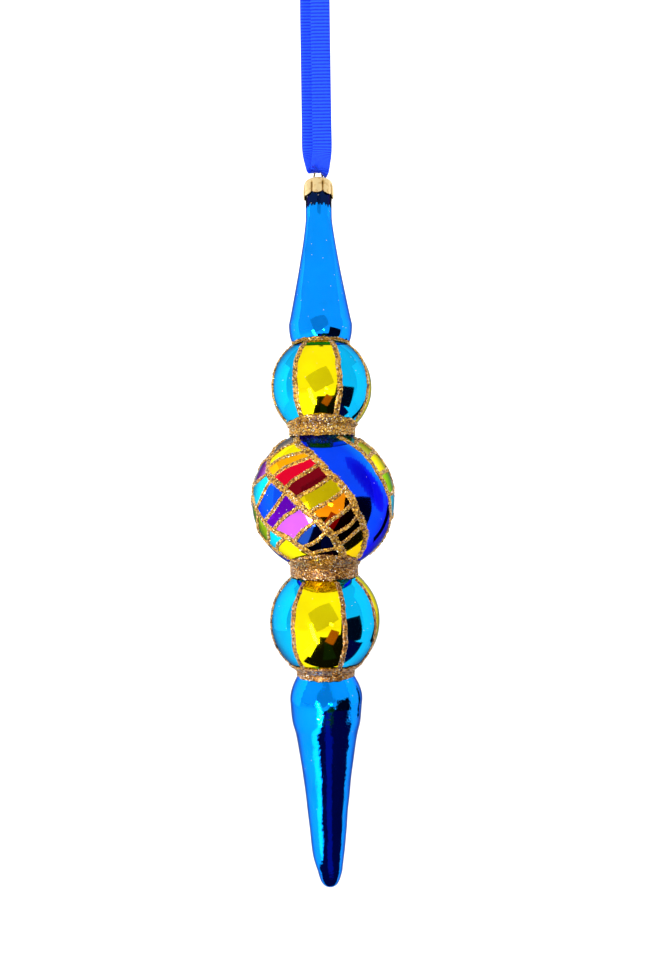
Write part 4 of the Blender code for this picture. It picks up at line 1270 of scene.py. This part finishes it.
# %% Floor and backdrop
def card_material(name, code, glow=0.0):
    """Matt card with a faint mottle; `glow` makes it a soft light."""
    made, tree, shader = new_material(name, Roughness=0.9, Specular_IOR_Level=0.0)
    place = add_node(tree, "ShaderNodeTexCoord").outputs["Object"]
    uneven = add_node(tree, "ShaderNodeTexNoise", {"Vector": place}, i_Scale=4.0, i_Detail=2.0)
    pale = add_node(tree, "ShaderNodeMix", {0: uneven.outputs["Fac"]}, data_type="RGBA")
    pale.inputs[6].default_value = colour(code)
    pale.inputs[7].default_value = [min(1.0, c * 1.08) for c in colour(code)[:3]] + [1.0]
    tree.links.new(pale.outputs[2], shader.inputs["Base Color"])
    if glow:
        tree.links.new(pale.outputs[2], shader.inputs["Emission Color"])
        shader.inputs["Emission Strength"].default_value = glow
    return made


def card(name, centre, size, finish, turn=0.0, target=(0, 0, MIDDLE_BALL)):
    """A flat card that faces a target and is turned in its own plane; only reflections show it."""
    deselect()
    bpy.ops.mesh.primitive_plane_add(size=1, location=centre)
    made = bpy.context.object
    made.name = name
    facing = (Vector(target) - Vector(centre)).to_track_quat("Z", "Y").to_matrix()
    made.rotation_euler = (facing @ Matrix.Rotation(math.radians(turn), 3, "Z")).to_euler()
    made.scale = (*size, 1)
    made.data.materials.append(finish)
    made.visible_camera = False
    made.visible_shadow = False
    made.visible_diffuse = False
    return made


floor = card("studio_floor", (0, 0.35, TIP - 0.15), (6, 6), card_material("pale_floor", "#F6F6F6"),
             target=(0, 0.35, 1))
backdrop = card("studio_backdrop", (0, 1.6, 0.2), (7, 5), card_material("pale_backdrop", "#FFFFFF", 0.4),
                target=(0, 0, 0.2))
for sheet in (floor, backdrop):
    sheet.visible_camera = True
    sheet.visible_diffuse = True

# %% Cards that the mirror sees
dark = card_material("charcoal_card", "#0A0A14")
navy = card_material("navy_card", "#080A34")
slate = card_material("slate_card", "#0A1A70")
grey = card_material("grey_card", "#B8B8BC")
tan = card_material("tan_card", "#8A4A12")
soft_white = card_material("glowing_white_card", "#FFFFFF", 0.35)
plain_white = card_material("plain_white_card", "#FFFFFF", 0.05)
strip_white = card_material("glowing_floor_strip", "#E8FFFF", 1.6)
bright_white = card_material("glowing_tube", "#FFFFFF", 24.0)
card("dark_card_below", (0.11, -0.29, TIP - 0.13), (0.46, 0.62), navy, target=(0.11, -0.29, 1))
card("slate_card_below", (0.025, -0.30, TIP - 0.12), (0.08, 0.46), slate, target=(0.025, -0.30, 1))
card("white_strip_below", (-0.125, -0.25, TIP - 0.11), (0.066, 0.36), strip_white, target=(-0.125, -0.25, 1))
card("dark_card_behind", (0.36, 0.26, TIP - 0.02), (0.09, 0.24), dark)
card("dark_card_right", (0.36, -0.25, TIP), (0.40, 0.36), dark)
card("tan_card_below", (0.065, -0.26, TIP - 0.01), (0.09, 0.13), tan, turn=25)
card("grey_card_above", (-0.035, -0.58, -0.05), (0.58, 0.46), grey, turn=-28)
card("white_card_left", (-0.75, 0.25, MIDDLE_BALL), (0.7, 1.2), soft_white)
card("white_card_right", (0.75, 0.22, MIDDLE_BALL), (0.6, 1.2), plain_white)
card("white_tube_left", (-0.145, -0.33, TIP), (0.050, 0.26), bright_white, turn=-14)
card("white_spot_right", (0.085, -0.42, MIDDLE_BALL - 0.035), (0.050, 0.030), bright_white, turn=30)

# %% Light
world = bpy.data.worlds.new("studio")
world.use_nodes = True
scene.world = world
world.node_tree.nodes["Background"].inputs["Color"].default_value = (1, 1, 1, 1)
world.node_tree.nodes["Background"].inputs["Strength"].default_value = 1.05


def soft_light(name, place, target, size, power):
    """An area light that looks at a target; the mirror doesn't show it."""
    deselect()
    bpy.ops.object.light_add(type="AREA", location=place)
    lamp = bpy.context.object
    lamp.name = name
    lamp.data.shape = "RECTANGLE"
    lamp.data.size, lamp.data.size_y = size
    lamp.data.energy = power
    lamp.rotation_euler = (Vector(target) - Vector(place)).to_track_quat("-Z", "Y").to_euler()
    lamp.visible_glossy = False
    return lamp


MIDDLE = (0, 0, MIDDLE_BALL)
soft_light("key_light", (-0.55, -0.6, 0.35), MIDDLE, (0.5, 0.5), 5)
scene.view_settings.view_transform = "Standard"
scene.view_settings.look = "None"
